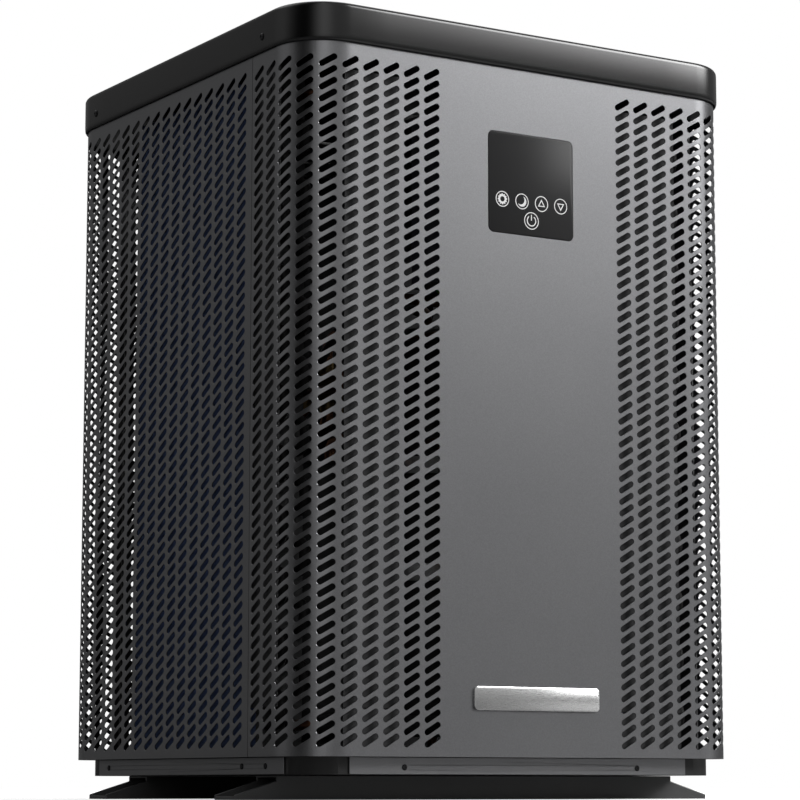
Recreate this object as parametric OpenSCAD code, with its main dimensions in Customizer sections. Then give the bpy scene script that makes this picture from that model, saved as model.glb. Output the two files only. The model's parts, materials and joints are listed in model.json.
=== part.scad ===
// Pool heat pump unit, vertical discharge. Millimetres, +Z up, +X to the right seen from the front, front face at -Y.
// Origin: floor level, centre of the overall footprint. The modules are written about the fan axis, and placed() moves them there.

/* [Cabinet] */
// Width of the cabinet over the side panels
body_w = 452; // [448:2:460]
// Depth of the cabinet over the front and rear panels
body_d = 440; // [436:2:450]
// Outside radius of the vertical corners
corner_r = 45; // [44:1:46]
// Sheet thickness of the panels
sheet = 0.8; // [0.8:0.1:1.5]
// Height of the panels' lower edge above the floor
panel_z0 = 35; // [34:0.5:36]
// Height of the panels' upper edge, hidden under the cover
panel_z1 = 645; // [640:1:650]
// Depth of the side returns of the front sheet, front face to seam
seam_y = 85; // [82:1:88]

/* [Perforation] */
// Height of a row of slots above the next
row_pitch = 10; // [10:1:12]
// Distance between columns on the front sheet
col_pitch = 20; // [20:1:22]
// Distance between columns on the side sheets
side_pitch = 20.14; // [20:0.02:20.4]
// Height of the lowest row of slots above the floor
row_z0 = 48; // [46:1:52]
// Number of rows on the sheet
rows = 57; // [30:1:57]
// Cut every n-th row: 1 is the full pattern, 3 keeps the solids light
row_step = 3; // [2:1:8]
// Overall length of a slot
slot_l = 17.1; // [12:0.1:17.2]
// Width of a slot
slot_w = 5.1; // [3:0.1:5.2]
// Slope of a slot
slot_a = 30; // [15:1:32]

/* [Cover] */
// Height of the cover's lower edge
cover_z0 = 624.5; // [622:0.5:628]
// Height of the cover's top face
cover_z1 = 658; // [656:1:662]
// How far the cover stands out over the panels
cover_over = 3; // [2.5:0.5:4]
// Fillet along the cover's top edge
cover_fillet = 4.5; // [3:0.5:6]

/* [Base] */
// Setback of the plinth behind the panels
plinth_set = 14; // [13:1:15]
// Height of the base pan's underside
pan_z0 = 20.5; // [20.5:0.5:22]
// Length of a foot rail at the floor
rail_l = 485; // [480:1:500]
// Length of a foot rail at its top plate
rail_top_l = 406; // [400:1:410]
// Width of a foot rail
rail_w = 35; // [32:1:36]
// Height of a foot rail
rail_h = 20.2; // [19:0.1:20.3]
// Centre of the front rail, from the cabinet centre
rail_y1 = -126; // [-134:1:-122]
// Centre of the rear rail, from the cabinet centre
rail_y2 = 110; // [102:1:116]
// Distance between the anchor slots of one rail
anchor_x = 452; // [448:1:454]

/* [Fan] */
// Radius of the fan over the blade tips
fan_r = 160; // [150:1:162]
// Number of blades
fan_blades = 4; // [3:1:6]
// Pitch of the blades
fan_pitch = 24; // [15:1:26]
// Inside radius of the air ring
ring_r = 168; // [167:1:170]

/* [Water circuit] */
// Radius of the pipe socket, for a 50 mm pipe
pipe_r = 25.1; // [25:0.05:25.2]
// Depth of the pipe socket
socket_l = 32; // [28:1:34]
// Position of the water connections across the rear
water_x = 85; // [80:1:88]
// Height of the water inlet
inlet_z = 120; // [115:1:130]
// Height of the water outlet
outlet_z = 370; // [360:1:372]

/* [Touch display] */
// Side of the square touch display
disp_w = 88; // [80:1:90]
// Height of the display's centre
disp_z = 523.5; // [515:0.5:530]

/* [Hidden] */
$fn = 64;
hw = body_w/2;
hd = body_d/2;
pan_w = body_w - 2*plinth_set;
pan_d = body_d - 2*plinth_set;
pan_r = corner_r - plinth_set;
in_w = body_w - 2*sheet - 2;      // inner parts keep 1 mm from the panels
in_d = body_d - 2*sheet - 2;
in_r = corner_r - sheet - 1;
arc_l = 3.14159265*corner_r/2;    // length of a corner's arc
flat_x = hw - corner_r;
flat_y = hd - corner_r;
coil_z0 = 44;
coil_z1 = 612;
coil_y0 = -130;
coil_y1 = 96;
tube_r = 4.76;
tube_n = 22;
tube_p = 25.4;
tube_z0 = coil_z0 + 17.3;
comp = [-72, 32];
accu = [-52, 128];
hx = [water_x, 78];
hx_r = 70;
// the rear unions reach further out than the front sheet, so the footprint's centre lies behind the fan axis
module placed() translate([0, -(36 + socket_l - cover_over)/2, 0]) children();

// ---- 2-D helpers ----
module rr(w, d, r) { union() { square([w - 2*r, d], center=true); square([w, d - 2*r], center=true);
  for (x=[-1,1]) for (y=[-1,1]) translate([x*(w/2-r), y*(d/2-r)]) circle(r); } }
module band(w, d, r, t) { difference() { rr(w, d, r); rr(w-2*t, d-2*t, r-t); } }
module obround(l, w) { union() { square([l-w, w], center=true); for (x=[-1,1]) translate([x*(l-w)/2, 0]) circle(w/2); } }
module rcyl(r, h, e) { rotate_extrude() intersection() { square([r+1, h+1]);
  union() { square([r-e, h]); translate([0, e]) square([r, h-2*e]); translate([r-e, e]) circle(e); translate([r-e, h-e]) circle(e); } } }
// rod through a list of points, with round elbows
module rod(pts, r) { union() { for (i=[0:len(pts)-2]) stick(pts[i], pts[i+1], r); for (i=[1:len(pts)-2]) translate(pts[i]) sphere(r + 0.4); } }
module stick(a, b, r) { v = b - a; l = norm(v); translate(a) rotate([0, acos(v[2]/l), atan2(v[1], v[0])]) cylinder(h=l, r=r); }
module hexhead(af, h) { cylinder(h=h, r=af/2/cos(30), $fn=6); }

// ---- perforated sheets ----
// position on the wrapped sheet: s runs to the viewer's right, 0 at the middle of the front
function wrap(s) = let(a = abs(s), g = s < 0 ? -1 : 1)
  a <= flat_x ? [s, -hd, 0] :
  a <= flat_x + arc_l ? let(f = (a-flat_x)/corner_r*57.29578) [g*(flat_x + corner_r*sin(f)), -flat_y - corner_r*cos(f), g*f] :
  a <= flat_x + arc_l + 2*flat_y ? [g*hw, -flat_y + (a - flat_x - arc_l), g*90] :
  a <= flat_x + 2*arc_l + 2*flat_y ? let(f = (a-flat_x-arc_l-2*flat_y)/corner_r*57.29578) [g*(flat_x + corner_r*cos(f)), flat_y + corner_r*sin(f), g*(90+f)] :
  [g*(flat_x - (a - flat_x - 2*arc_l - 2*flat_y)), hd, g*180];
module slot_at(s, z) { p = wrap(s); translate([p[0], p[1], z]) rotate([0, 0, p[2]]) rotate([90, 0, 0]) translate([0, 0, -4]) linear_extrude(8) rotate(slot_a) obround(slot_l, slot_w); }
module sheet_ring() { translate([0, 0, panel_z0]) linear_extrude(panel_z1 - panel_z0) band(body_w, body_d, corner_r, sheet); }
module side_holes(g) { for (y=[-156, 163]) translate([g*(hw-4), y, 637]) rotate([0, 90, 0]) cylinder(h=8, r=2.3, center=true);
  for (y=[-156, 163]) translate([g*(hw-1), y, 637]) rotate([0, 90, 0]) cylinder(h=8, r=2.3, center=true); }

module front_panel() color("#6d6e70") difference() {
  intersection() { sheet_ring(); translate([-hw-1, -hd-1, 0]) cube([body_w+2, seam_y + 0.7, 700]); }
  for (g=[-1, 1]) for (i=[0:9]) for (k=[0:row_step:rows-1]) slot_at(g*(100 + col_pitch*i), row_z0 + row_pitch*k);
  translate([1.5, -hd, disp_z]) rotate([90, 0, 0]) linear_extrude(8, center=true) rr(disp_w+1, disp_w+1, 5.5);
  for (x=[-45, 53]) translate([x, -hd, 83.5]) rotate([90, 0, 0]) cylinder(h=8, r=1.6, center=true);
  for (g=[-1, 1]) translate([g*hw, -156, 637]) rotate([0, 90, 0]) cylinder(h=8, r=2.3, center=true);
}
module side_panel() difference() {
  intersection() { sheet_ring(); union() { translate([-hw-1, -hd+seam_y+0.3, 0]) cube([60, body_d-seam_y-70, 700]); translate([-hw-1, hd-80, 0]) cube([hw+1-168.3, 82, 700]); } }
  for (j=[0:18]) for (k=[0:row_step:rows-1]) slot_at(-(310 + side_pitch*j), row_z0 + row_pitch*k);
  translate([-hw, 163, 637]) rotate([0, 90, 0]) cylinder(h=8, r=2.3, center=true);
}
module left_panel() color("#3a3b3d") side_panel();
module right_panel() color("#3a3b3d") mirror([1, 0, 0]) side_panel();
module rear_panel() color("#3a3b3d") difference() {
  translate([-167.7, hd-sheet, panel_z0]) cube([335.4, sheet, panel_z1-panel_z0]);
  for (i=[0:15]) for (k=[0:row_step:rows-1]) if (!(-150+20*i > 25 && (abs(row_z0+row_pitch*k-inlet_z) < 50 || abs(row_z0+row_pitch*k-outlet_z) < 50)) && !(abs(-150+20*i+90) < 35 && abs(row_z0+row_pitch*k-100) < 28))
    translate([-150+20*i, hd, row_z0+row_pitch*k]) rotate([0, 0, 180]) rotate([90, 0, 0]) linear_extrude(8, center=true) rotate(slot_a) obround(slot_l, slot_w);
  for (z=[inlet_z, outlet_z]) translate([water_x, hd, z]) rotate([90, 0, 0]) cylinder(h=8, r=33.4, center=true);
  translate([-90, hd, 100]) rotate([90, 0, 0]) cylinder(h=8, r=8.3, center=true);
}
// screws that hold the rear sheet to the base pan's upstand and to the deck's skirt
module panel_screws() color("#2a2b2d") for (x=[-158, 0, 158]) for (z=[38.5, 621]) screw_out([x, hd, z], 180);
module screw_out(p, a) { translate(p) rotate([0, 0, a]) rotate([90, 0, 0]) translate([0, 0, 0.05]) { cylinder(h=0.9, r=2.6); } }

// ---- base ----
module base_pan() color("#1d1e20") difference() {
  union() {
    translate([0, 0, pan_z0]) linear_extrude(1.6) rr(pan_w-3, pan_d-3, pan_r-1.5);
    translate([0, 0, pan_z0]) linear_extrude(panel_z0+1.5-pan_z0) band(pan_w-3, pan_d-3, pan_r-1.5, 1.6);
    translate([0, 0, panel_z0]) linear_extrude(1.5) band(in_w, in_d, in_r, 14.5);
    translate([0, 0, panel_z0]) linear_extrude(6) band(in_w, in_d, in_r, 1.5);
  }
  for (x=[-160, 160]) for (y=[rail_y1, rail_y2]) translate([x, y, pan_z0-1]) cylinder(h=4, r=3.4);
  translate([40, -60, pan_z0-1]) cylinder(h=4, r=9.2);
}
module trim_front(l) { translate([-l/2, -pan_d/2, pan_z0+0.3]) cube([l, 1.3, panel_z0-pan_z0-0.6]); }
module plinth_trims() color("#5a5b5d") {
  difference() { trim_front(342); for (x=[-118.5, 118.5]) translate([x, -pan_d/2, 26.5]) rotate([90, 0, 0]) cylinder(h=8, r=1.9, center=true); }
  rotate([0, 0, 180]) trim_front(342);
  for (g=[-1, 1]) difference() { translate([g < 0 ? -pan_w/2 : pan_w/2-1.3, -170, pan_z0+0.3]) cube([1.3, 340, panel_z0-pan_z0-0.6]);
    for (y=[-140, -100, 150]) translate([g*pan_w/2, y, 27.5]) rotate([0, 90, 0]) cylinder(h=8, r=1.9, center=true); }
}
module sheet_screws() { plinth_screws(); panel_screws(); }
module plinth_screws() color("#2a2b2d") {
  for (x=[-118.5, 118.5]) translate([x, -pan_d/2, 26.5]) rotate([90, 0, 0]) { cylinder(h=0.9, r=3.2); translate([0, 0, -1.2]) cylinder(h=1.5, r=1.7); }
  for (g=[-1, 1]) for (y=[-140, -100, 150]) translate([g*pan_w/2, y, 27.5]) rotate([0, g*90, 0]) { cylinder(h=0.9, r=3.2); translate([0, 0, -1.2]) cylinder(h=1.5, r=1.7); }
}
module rail(yc) difference() {
  union() {
    for (y=[yc-rail_w/2+2, yc+rail_w/2]) translate([0, y, 0]) rotate([90, 0, 0]) linear_extrude(2)
      polygon([[-rail_l/2, 0], [rail_l/2, 0], [rail_l/2, 4], [rail_top_l/2, rail_h-4.5], [rail_top_l/2, rail_h], [-rail_top_l/2, rail_h], [-rail_top_l/2, rail_h-4.5], [-rail_l/2, 4]]);
    translate([-rail_top_l/2, yc-rail_w/2+1, rail_h-2]) cube([rail_top_l, rail_w-2, 2]);
    for (g=[-1, 1]) translate([g*(rail_l/2-23) - 23, yc-rail_w/2+1, 0]) cube([46, rail_w-2, 3]);
  }
  for (g=[-1, 1]) translate([g*anchor_x/2, yc, -1]) linear_extrude(6) obround(14, 9);
  for (x=[-160, 160]) translate([x, yc, rail_h-4]) cylinder(h=6, r=3.4);
}
module front_foot_rail() color("#191a1b") rail(rail_y1);
module rear_foot_rail() color("#191a1b") rail(rail_y2);
module frame_bolts() color("#8d9094") {
  for (x=[-160, 160]) for (y=[rail_y1, rail_y2]) translate([x, y, 0]) union() {
    translate([0, 0, rail_h-9]) cylinder(h=pan_z0+1.8-rail_h+9, r=3); translate([0, 0, pan_z0+1.7]) hexhead(10, 4); translate([0, 0, rail_h-7.2]) hexhead(10, 5); }
  for (a=[90, 210, 330]) translate([comp[0], comp[1], 0]) rotate([0, 0, a]) translate([72, 0, 0]) union() {
    translate([0, 0, 22.2]) cylinder(h=38, r=3); translate([0, 0, 53.5]) cylinder(h=1.5, r=9); translate([0, 0, 55]) hexhead(10, 5); }
}

// dark plates close behind the front sheet, either side of the control box, each with a stiffening return
module front_baffle() color("#2b2c2e") for (x=[[-182.3, -126], [94, 160.5]]) union() {
  translate([x[0], -214.5, 74]) cube([x[1]-x[0], 1.2, 529]);
  translate([x[0] < 0 ? x[1]-1.2 : x[0], -214.5, 74]) cube([1.2, 16, 529]); }
// closes the rear between the coils, so that the fan draws through the fins
module rear_baffle() color("#1b1c1d") difference() {
  translate([-150, 203, 37]) cube([321, 1, 577]);
  for (z=[inlet_z, outlet_z]) translate([water_x, 200, z]) rotate([-90, 0, 0]) cylinder(h=10, r=30);
  translate([-90, 200, 100]) rotate([-90, 0, 0]) cylinder(h=10, r=12);
}

// ---- cover and air outlet ----
cw = body_w + 2*cover_over;
cd = body_d + 2*cover_over;
cr = corner_r + cover_over;
ch = cover_z1 - cover_z0;
module cover_profile() translate([cr-12, 0]) difference() { union() { square([12-cover_fillet, ch]); square([12, ch-cover_fillet]); translate([12-cover_fillet, ch-cover_fillet]) circle(cover_fillet); }
  translate([-1, -1]) square([11, ch-1]); }
module top_cover() color("#55565a") difference() {
  translate([0, 0, cover_z0]) union() {
    for (q=[0:3]) rotate([0, 0, 0]) translate([(q==0||q==3 ? 1 : -1)*(cw/2-cr), (q<2 ? 1 : -1)*(cd/2-cr), 0]) rotate([0, 0, q*90]) rotate_extrude(angle=90) cover_profile();
    for (g=[-1, 1]) translate([-(cw/2-cr), g*(cd/2-cr), 0]) mirror([0, g<0 ? 1 : 0, 0]) rotate([90, 0, 90]) linear_extrude(cw-2*cr) cover_profile();
    for (g=[-1, 1]) mirror([g<0 ? 1 : 0, 0, 0]) translate([cw/2-cr, cd/2-cr, 0]) rotate([90, 0, 0]) linear_extrude(cd-2*cr) cover_profile();
    translate([0, 0, ch-2]) linear_extrude(2) difference() { rr(cw-23, cd-23, cr-11.5); circle(174); }
  }
  for (g=[-1, 1]) for (y=[-156, 163]) translate([g*(cw/2), y, 637]) rotate([0, 90, 0]) cylinder(h=8, r=2.3, center=true);
  for (a=[22.5:45:359]) rotate([0, 0, a]) translate([179, 0, cover_z1-4]) cylinder(h=6, r=2.2);
}
module cover_screws() color("#26272a") {
  for (g=[-1, 1]) for (y=[-156, 163]) translate([g*(cw/2+0.1), y, 637]) rotate([0, g*90, 0]) { cylinder(h=1.2, r=3.4); translate([0, 0, -7]) cylinder(h=7.5, r=2); }
  for (a=[22.5:45:359]) rotate([0, 0, a]) translate([179, 0, cover_z1-3.5]) { cylinder(h=7.8, r=2); translate([0, 0, 7.8]) cylinder(h=1.6, r=3.6); }
}
module fan_guard() color("#202123") translate([0, 0, cover_z1+0.2]) difference() {
  linear_extrude(4) union() { difference() { circle(185); circle(168); }
    for (r=[44:12.4:160]) difference() { circle(r+1.7); circle(r-1.7); }
    for (a=[0:45:359]) rotate(a) translate([28, -2.2]) square([145, 4.4]); circle(34); }
  for (a=[22.5:45:359]) rotate([0, 0, a]) translate([179, 0, -1]) cylinder(h=6, r=2.2);
}
module fan_deck() color("#1b1c1d") union() {
  difference() { translate([0, 0, 617]) linear_extrude(1.5) rr(in_w, in_d, in_r); translate([0, 0, 610]) cylinder(h=20, r=ring_r+1);
    for (x=[-186, 186]) for (y=[-38, 38]) translate([x, y, 610]) cylinder(h=15, r=2.8); }
  translate([0, 0, 616]) linear_extrude(16) band(in_w, in_d, in_r, 1.5);
  rotate_extrude() translate([ring_r, 617]) square([2, 35]);
}

// ---- fan and motor ----
module motor_bracket() color("#7d8083") for (y=[-38, 38]) difference() {
  union() { translate([-172.4, y-11, 580.5]) cube([344.8, 22, 2.5]); for (g=[-1, 1]) { translate([g < 0 ? -172.4 : 169.9, y-11, 580.5]) cube([2.5, 22, 36.2]); translate([g < 0 ? -196 : 169.9, y-11, 614.2]) cube([26.1, 22, 2.5]); } }
  for (g=[-1, 1]) translate([g*44, y, 575]) cylinder(h=20, r=2.8);
  for (g=[-1, 1]) translate([g*186, y, 605]) cylinder(h=20, r=2.8);
}
module motor_bolts() color("#8d9094") for (y=[-38, 38]) { for (g=[-1, 1]) translate([g*44, y, 571]) union() { cylinder(h=13, r=2.5); translate([0, 0, 12.2]) hexhead(8, 4); translate([0, 0, -1]) hexhead(8, 4); }
  for (g=[-1, 1]) translate([g*186, y, 614.4]) union() { cylinder(h=10, r=2.5); translate([0, 0, 4.3]) hexhead(8, 4); } }
module fan_motor_housing() color("#3c3e41") union() {
  difference() { translate([0, 0, 500]) rcyl(52, 84, 8); translate([0, 0, 503]) cylinder(h=69.5, r=49.5); translate([0, 0, 572]) cylinder(h=20, r=60); translate([0, 0, 495]) cylinder(h=10, r=9.5); }
  difference() { translate([0, 0, 501]) cylinder(h=13, r=19.5); translate([0, 0, 495]) cylinder(h=10, r=9.5); translate([0, 0, 503]) cylinder(h=12, r=16.04); }
}
module fan_motor_end_cap() color("#8b8e91") difference() {
  union() { translate([0, 0, 575.2]) cylinder(h=5, r=64); translate([0, 0, 562]) cylinder(h=14, r=19.5); translate([0, 0, 572.2]) cylinder(h=4, r=49.2); }
  translate([0, 0, 561]) cylinder(h=30, r=9.5); translate([0, 0, 561]) cylinder(h=12.2, r=16.04);
  for (y=[-38, 38]) for (g=[-1, 1]) translate([g*44, y, 570]) cylinder(h=20, r=2.8);
}
module fan_motor_stator() color("#a8622e") translate([0, 0, 520]) difference() { union() { cylinder(h=36, r=49.2); translate([0, 0, -6]) cylinder(h=48, r=42); } translate([0, 0, -8]) cylinder(h=60, r=31);
  for (a=[0:30:359]) rotate([0, 0, a]) translate([38, 0, -8]) cylinder(h=60, r=2.5); }
module fan_motor_rotor() color("#54565a") translate([0, 0, 521]) difference() { cylinder(h=34, r=30.4); translate([0, 0, -1]) cylinder(h=40, r=6.05); }
module motor_shaft() color("#b9bcc0") union() { translate([0, 0, 496]) cylinder(h=140, r=5.97); translate([0, 0, 636]) cylinder(h=12, r=4); }
module bearing_outer_rings() color("#c6c9cc") for (z=[503.5, 562.5]) translate([0, 0, z]) difference() { cylinder(h=10, r=16); translate([0, 0, -1]) cylinder(h=12, r=11.05); }
module bearing_inner_rings() color("#dadcdf") for (z=[503.5, 562.5]) translate([0, 0, z]) difference() { cylinder(h=10, r=11); translate([0, 0, -1]) cylinder(h=12, r=6); }
module fan_impeller() color("#17181a") difference() {
  union() {
    difference() { translate([0, 0, 600]) rcyl(44, 34, 6); translate([0, 0, 595]) cylinder(h=34, r=40); }
    translate([0, 0, 601]) cylinder(h=30, r=14);
    for (i=[0:fan_blades-1]) rotate([0, 0, i*360/fan_blades]) intersection() {
      difference() { translate([0, 0, 596]) cylinder(h=46, r=fan_r); translate([0, 0, 590]) cylinder(h=60, r=42.5); }
      translate([0, 0, 618]) rotate([fan_pitch, 0, 0]) translate([40, -52, -1.4]) cube([130, 104, 2.8]); }
  }
  translate([0, 0, 590]) cylinder(h=60, r=6.02);
}
module fan_nut() color("#b9bcc0") translate([0, 0, 636.2]) difference() { union() { cylinder(h=1.6, r=11); translate([0, 0, 1.6]) hexhead(14, 6.5); } translate([0, 0, -1]) cylinder(h=20, r=4.05); }

// ---- evaporator coils, one on each side ----
coil_x = [-205, -184];
module coil_fins() difference() {
  translate([-214, coil_y0, coil_z0]) cube([39, coil_y1-coil_y0, coil_z1-coil_z0]);
  for (x=coil_x) for (i=[0:tube_n-1]) translate([x, coil_y0-1, tube_z0+tube_p*i]) rotate([-90, 0, 0]) cylinder(h=coil_y1-coil_y0+2, r=5);
}
module hairpin(z) translate([0, 0, z]) union() {
  for (x=coil_x) translate([x, coil_y0-12, 0]) rotate([-90, 0, 0]) cylinder(h=coil_y1-coil_y0+20, r=tube_r);
  translate([(coil_x[0]+coil_x[1])/2, coil_y1+8, 0]) rotate_extrude(angle=180) translate([(coil_x[1]-coil_x[0])/2, 0]) circle(tube_r);
}
module tube_bank() { for (i=[0:tube_n-1]) hairpin(tube_z0+tube_p*i);
  for (i=[0:2:tube_n-2]) translate([coil_x[0], coil_y0-12.2, tube_z0+tube_p*(i+0.5)]) rotate([0, -90, 0]) rotate([0, 0, 180]) rotate_extrude(angle=180) translate([tube_p/2, 0]) circle(tube_r);
  for (i=[1:2:tube_n-3]) translate([coil_x[1], coil_y0-12.2, tube_z0+tube_p*(i+0.5)]) rotate([0, -90, 0]) rotate([0, 0, 180]) rotate_extrude(angle=180) translate([tube_p/2, 0]) circle(tube_r); }
module left_coil_fins() color("#31506f") coil_fins();
module right_coil_fins() color("#31506f") mirror([1, 0, 0]) coil_fins();
module coil_tubes() color("#b06a3a") for (m=[0, 1]) mirror([m, 0, 0]) tube_bank();
module coil_tube_sheets() color("#9da0a3") for (m=[0, 1]) mirror([m, 0, 0]) for (y=[coil_y0-2, coil_y1+0.5]) difference() {
  union() { translate([-216, y, coil_z0-2]) cube([43, 1.5, coil_z1-coil_z0+4]); if (y < 0) translate([-221.5, y-42, 75]) cube([1.5, 43.5, 539]); if (y < 0) translate([-221.5, y, 75]) cube([6, 1.5, 539]); }
  for (x=coil_x) for (i=[0:tube_n-1]) translate([x, y-1, tube_z0+tube_p*i]) rotate([-90, 0, 0]) cylinder(h=4, r=5.2);
}

// ---- refrigerant circuit ----
module compressor_shell() color("#161719") translate([comp[0], comp[1], 0]) union() {
  difference() { translate([0, 0, 52]) rcyl(60, 250, 24); translate([0, 0, 55]) rcyl(57, 244, 21); }
  difference() { translate([0, 0, 44]) linear_extrude(4) rotate(90) union() { circle(52); for (a=[0, 120, 240]) rotate(a) translate([0, -16]) square([72, 32]); for (a=[0, 120, 240]) rotate(a) translate([72, 0]) circle(16); }
    for (a=[90, 210, 330]) rotate([0, 0, a]) translate([72, 0, 40]) cylinder(h=10, r=9); }
  difference() { translate([0, 0, 47]) cylinder(h=12, r=40); translate([0, 0, 55]) rcyl(57, 244, 21); }
}
module compressor_stator() color("#a8622e") translate([comp[0], comp[1], 0]) difference() { union() { translate([0, 0, 170]) cylinder(h=60, r=56.8); translate([0, 0, 156]) cylinder(h=88, r=50); } translate([0, 0, 150]) cylinder(h=100, r=32); }
module compressor_rotor() color("#c9ccd0") translate([comp[0], comp[1], 0]) union() {
  translate([0, 0, 168]) cylinder(h=64, r=31.5); translate([0, 0, 66]) cylinder(h=174, r=8.95); translate([3.5, 0, 93]) cylinder(h=24, r=17); }
module compressor_pump_block() color("#6b6e72") translate([comp[0], comp[1], 0]) union() {
  difference() { translate([0, 0, 92]) cylinder(h=26, r=56.8); translate([0, 0, 80]) cylinder(h=60, r=24); for (a=[30:60:359]) rotate([0, 0, a]) translate([42, 0, 80]) cylinder(h=60, r=6); }
  difference() { union() { translate([0, 0, 118]) cylinder(h=6, r=34); translate([0, 0, 124]) cylinder(h=24, r=16); } translate([0, 0, 100]) cylinder(h=60, r=9); }
  difference() { union() { translate([0, 0, 86]) cylinder(h=6, r=34); translate([0, 0, 72]) cylinder(h=14, r=16); } translate([0, 0, 60]) cylinder(h=60, r=9); }
}
module compressor_grommets() color("#0e0e0f") for (a=[90, 210, 330]) translate([comp[0], comp[1], 0]) rotate([0, 0, a]) translate([72, 0, 0]) difference() {
  union() { translate([0, 0, 22.6]) cylinder(h=21, r=15); translate([0, 0, 43]) cylinder(h=6, r=8.8); translate([0, 0, 48.3]) cylinder(h=5, r=13); } translate([0, 0, 20]) cylinder(h=40, r=5); }
module terminal_cover() color("#101112") translate([comp[0]-28, comp[1], 302.2]) rcyl(18, 22, 5);
module accumulator() color("#161719") translate([accu[0], accu[1], 0]) union() { translate([0, 0, 90]) rcyl(27, 170, 18); translate([0, 0, 255]) cylinder(h=20, r=8); 
  translate([0, 0, 105]) rotate([90, 0, atan2(comp[1]-accu[1], comp[0]-accu[0])+90]) translate([0, 0, 20]) cylinder(h=16, r=7); }
valve = [-60, 20, 372];
module reversing_valve() color("#b8863b") translate(valve) difference() {
  union() { rotate([0, 90, 0]) cylinder(h=112, r=15, center=true); for (g=[-1, 1]) translate([g*56, 0, 0]) rotate([0, 90, 0]) cylinder(h=6, r=16.5, center=true);
    for (x=[-24, 0, 24]) translate([x, 0, -22]) cylinder(h=20, r=7.5); translate([0, 0, 4]) cylinder(h=20, r=7.5); }
  rotate([0, 90, 0]) cylinder(h=106, r=12.5, center=true);
  for (x=[-24, 0, 24]) translate([x, 0, -30]) cylinder(h=26, r=6.4); translate([0, 0, 4]) cylinder(h=26, r=6.4);
}
module valve_slide() color("#d8c9a0") translate(valve) union() { for (x=[-30, 30]) translate([x-12, 0, 0]) rotate([0, 90, 0]) cylinder(h=7, r=12.45, center=true);
  translate([-12, 0, 1]) cube([62, 9, 3], center=true); translate([-12, 0, -5.7]) cube([34, 9, 10.6], center=true); }
module valve_coil() color("#1b1c1e") translate([valve[0]+20, valve[1]-36, valve[2]+12]) union() { cube([30, 24, 26], center=true); rotate([0, 90, 0]) cylinder(h=52, r=6, center=true); translate([0, 15.8, 0]) cube([20, 7.6, 4], center=true); }
module expansion_valve() color("#b8863b") translate([30, -70, 300]) union() { cylinder(h=34, r=9); translate([0, 0, 34]) cylinder(h=30, r=16); translate([0, 0, 64]) cylinder(h=8, r=7); translate([0, 0, -14]) cylinder(h=14, r=4.76); translate([0, 0, 14]) rotate([0, -90, 0]) cylinder(h=24, r=4.76); }
module refrigerant_pipes() color("#b87345") {
  vx = valve[0]; vy = valve[1]; vl = valve[2] - 13.5; top = tube_z0 + tube_p*(tube_n-1); fy = coil_y0 - 12.4;
  // discharge: compressor to the reversing valve
  rod([[comp[0]+22, comp[1], 302.4], [comp[0]+22, comp[1], 325], [comp[0]+22, -60, 325], [comp[0]+22, -60, 420], [vx, vy, 420], [vx, vy, valve[2]+13.5]], 5);
  // suction: valve to the accumulator
  rod([[vx, vy, vl], [vx, vy, 335], [accu[0], accu[1], 335], [accu[0], accu[1], 275.2]], 6);
  // hot gas: valve to the water exchanger
  rod([[vx+24, vy, vl], [vx+24, vy, 341], [10, vy, 341], [10, vy, 462], [hx[0], hx[1], 462], [hx[0], hx[1], 441]], 6);
  // gas: valve to the left coil, and on to the right coil under the control box
  rod([[vx-24, vy, vl], [vx-24, vy, 345], [-150, vy, 345], [-150, -162, 345], [-150, -162, top], [coil_x[1], -162, top], [coil_x[1], fy, top]], 4.7);
  rod([[-145, -162, 425], [150, -162, 425], [150, -162, top], [-coil_x[1], -162, top], [-coil_x[1], fy, top]], 4.7);
  // liquid: exchanger to the expansion valve and on to both coils
  rod([[hx[0]-20, hx[1]-40, 56.5], [hx[0]-20, hx[1]-40, 46], [30, -70, 46], [30, -70, 285.8]], 4.7);
  rod([[5.8, -70, 314], [-10, -70, 314], [-10, -162, 314], [-10, -162, tube_z0], [coil_x[1], -162, tube_z0], [coil_x[1], fy, tube_z0]], 4.7);
  rod([[-5, -162, tube_z0], [-coil_x[1], -162, tube_z0], [-coil_x[1], fy, tube_z0]], 4.7);
}

// ---- water circuit ----
module hx_at() { translate([hx[0], hx[1], 0]) children(); }
module exchanger_shell() color("#1e1f21") hx_at() difference() {
  union() { translate([0, 0, 58]) rcyl(hx_r, 382, 20); for (z=[60, 420]) translate([0, 0, z]) cylinder(h=8, r=hx_r+2);
    for (z=[inlet_z, outlet_z]) translate([0, 0, z]) rotate([-90, 0, 0]) cylinder(h=hx_r+10, r=30); }
  translate([0, 0, 63]) rcyl(hx_r-5, 372, 16);
  for (z=[inlet_z, outlet_z]) translate([0, hx_r-14, z]) rotate([-90, 0, 0]) cylinder(h=40, r=22);
}
module titanium_coil() color("#a9a39a") hx_at() { for (z=[95:17:400]) translate([0, 0, z]) rotate_extrude() translate([46, 0]) circle(7); }
module exchanger_straps() color("#8d9094") hx_at() for (z=[200, 300]) difference() { union() { translate([0, 0, z]) cylinder(h=16, r=hx_r+1.7); translate([-hx_r-14, -6, z]) cube([16, 12, 16]); } translate([0, 0, z-1]) cylinder(h=20, r=hx_r+0.3); translate([-hx_r-20, -1.5, z-1]) cube([24, 3, 20]); }
stub_y = 159;
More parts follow.
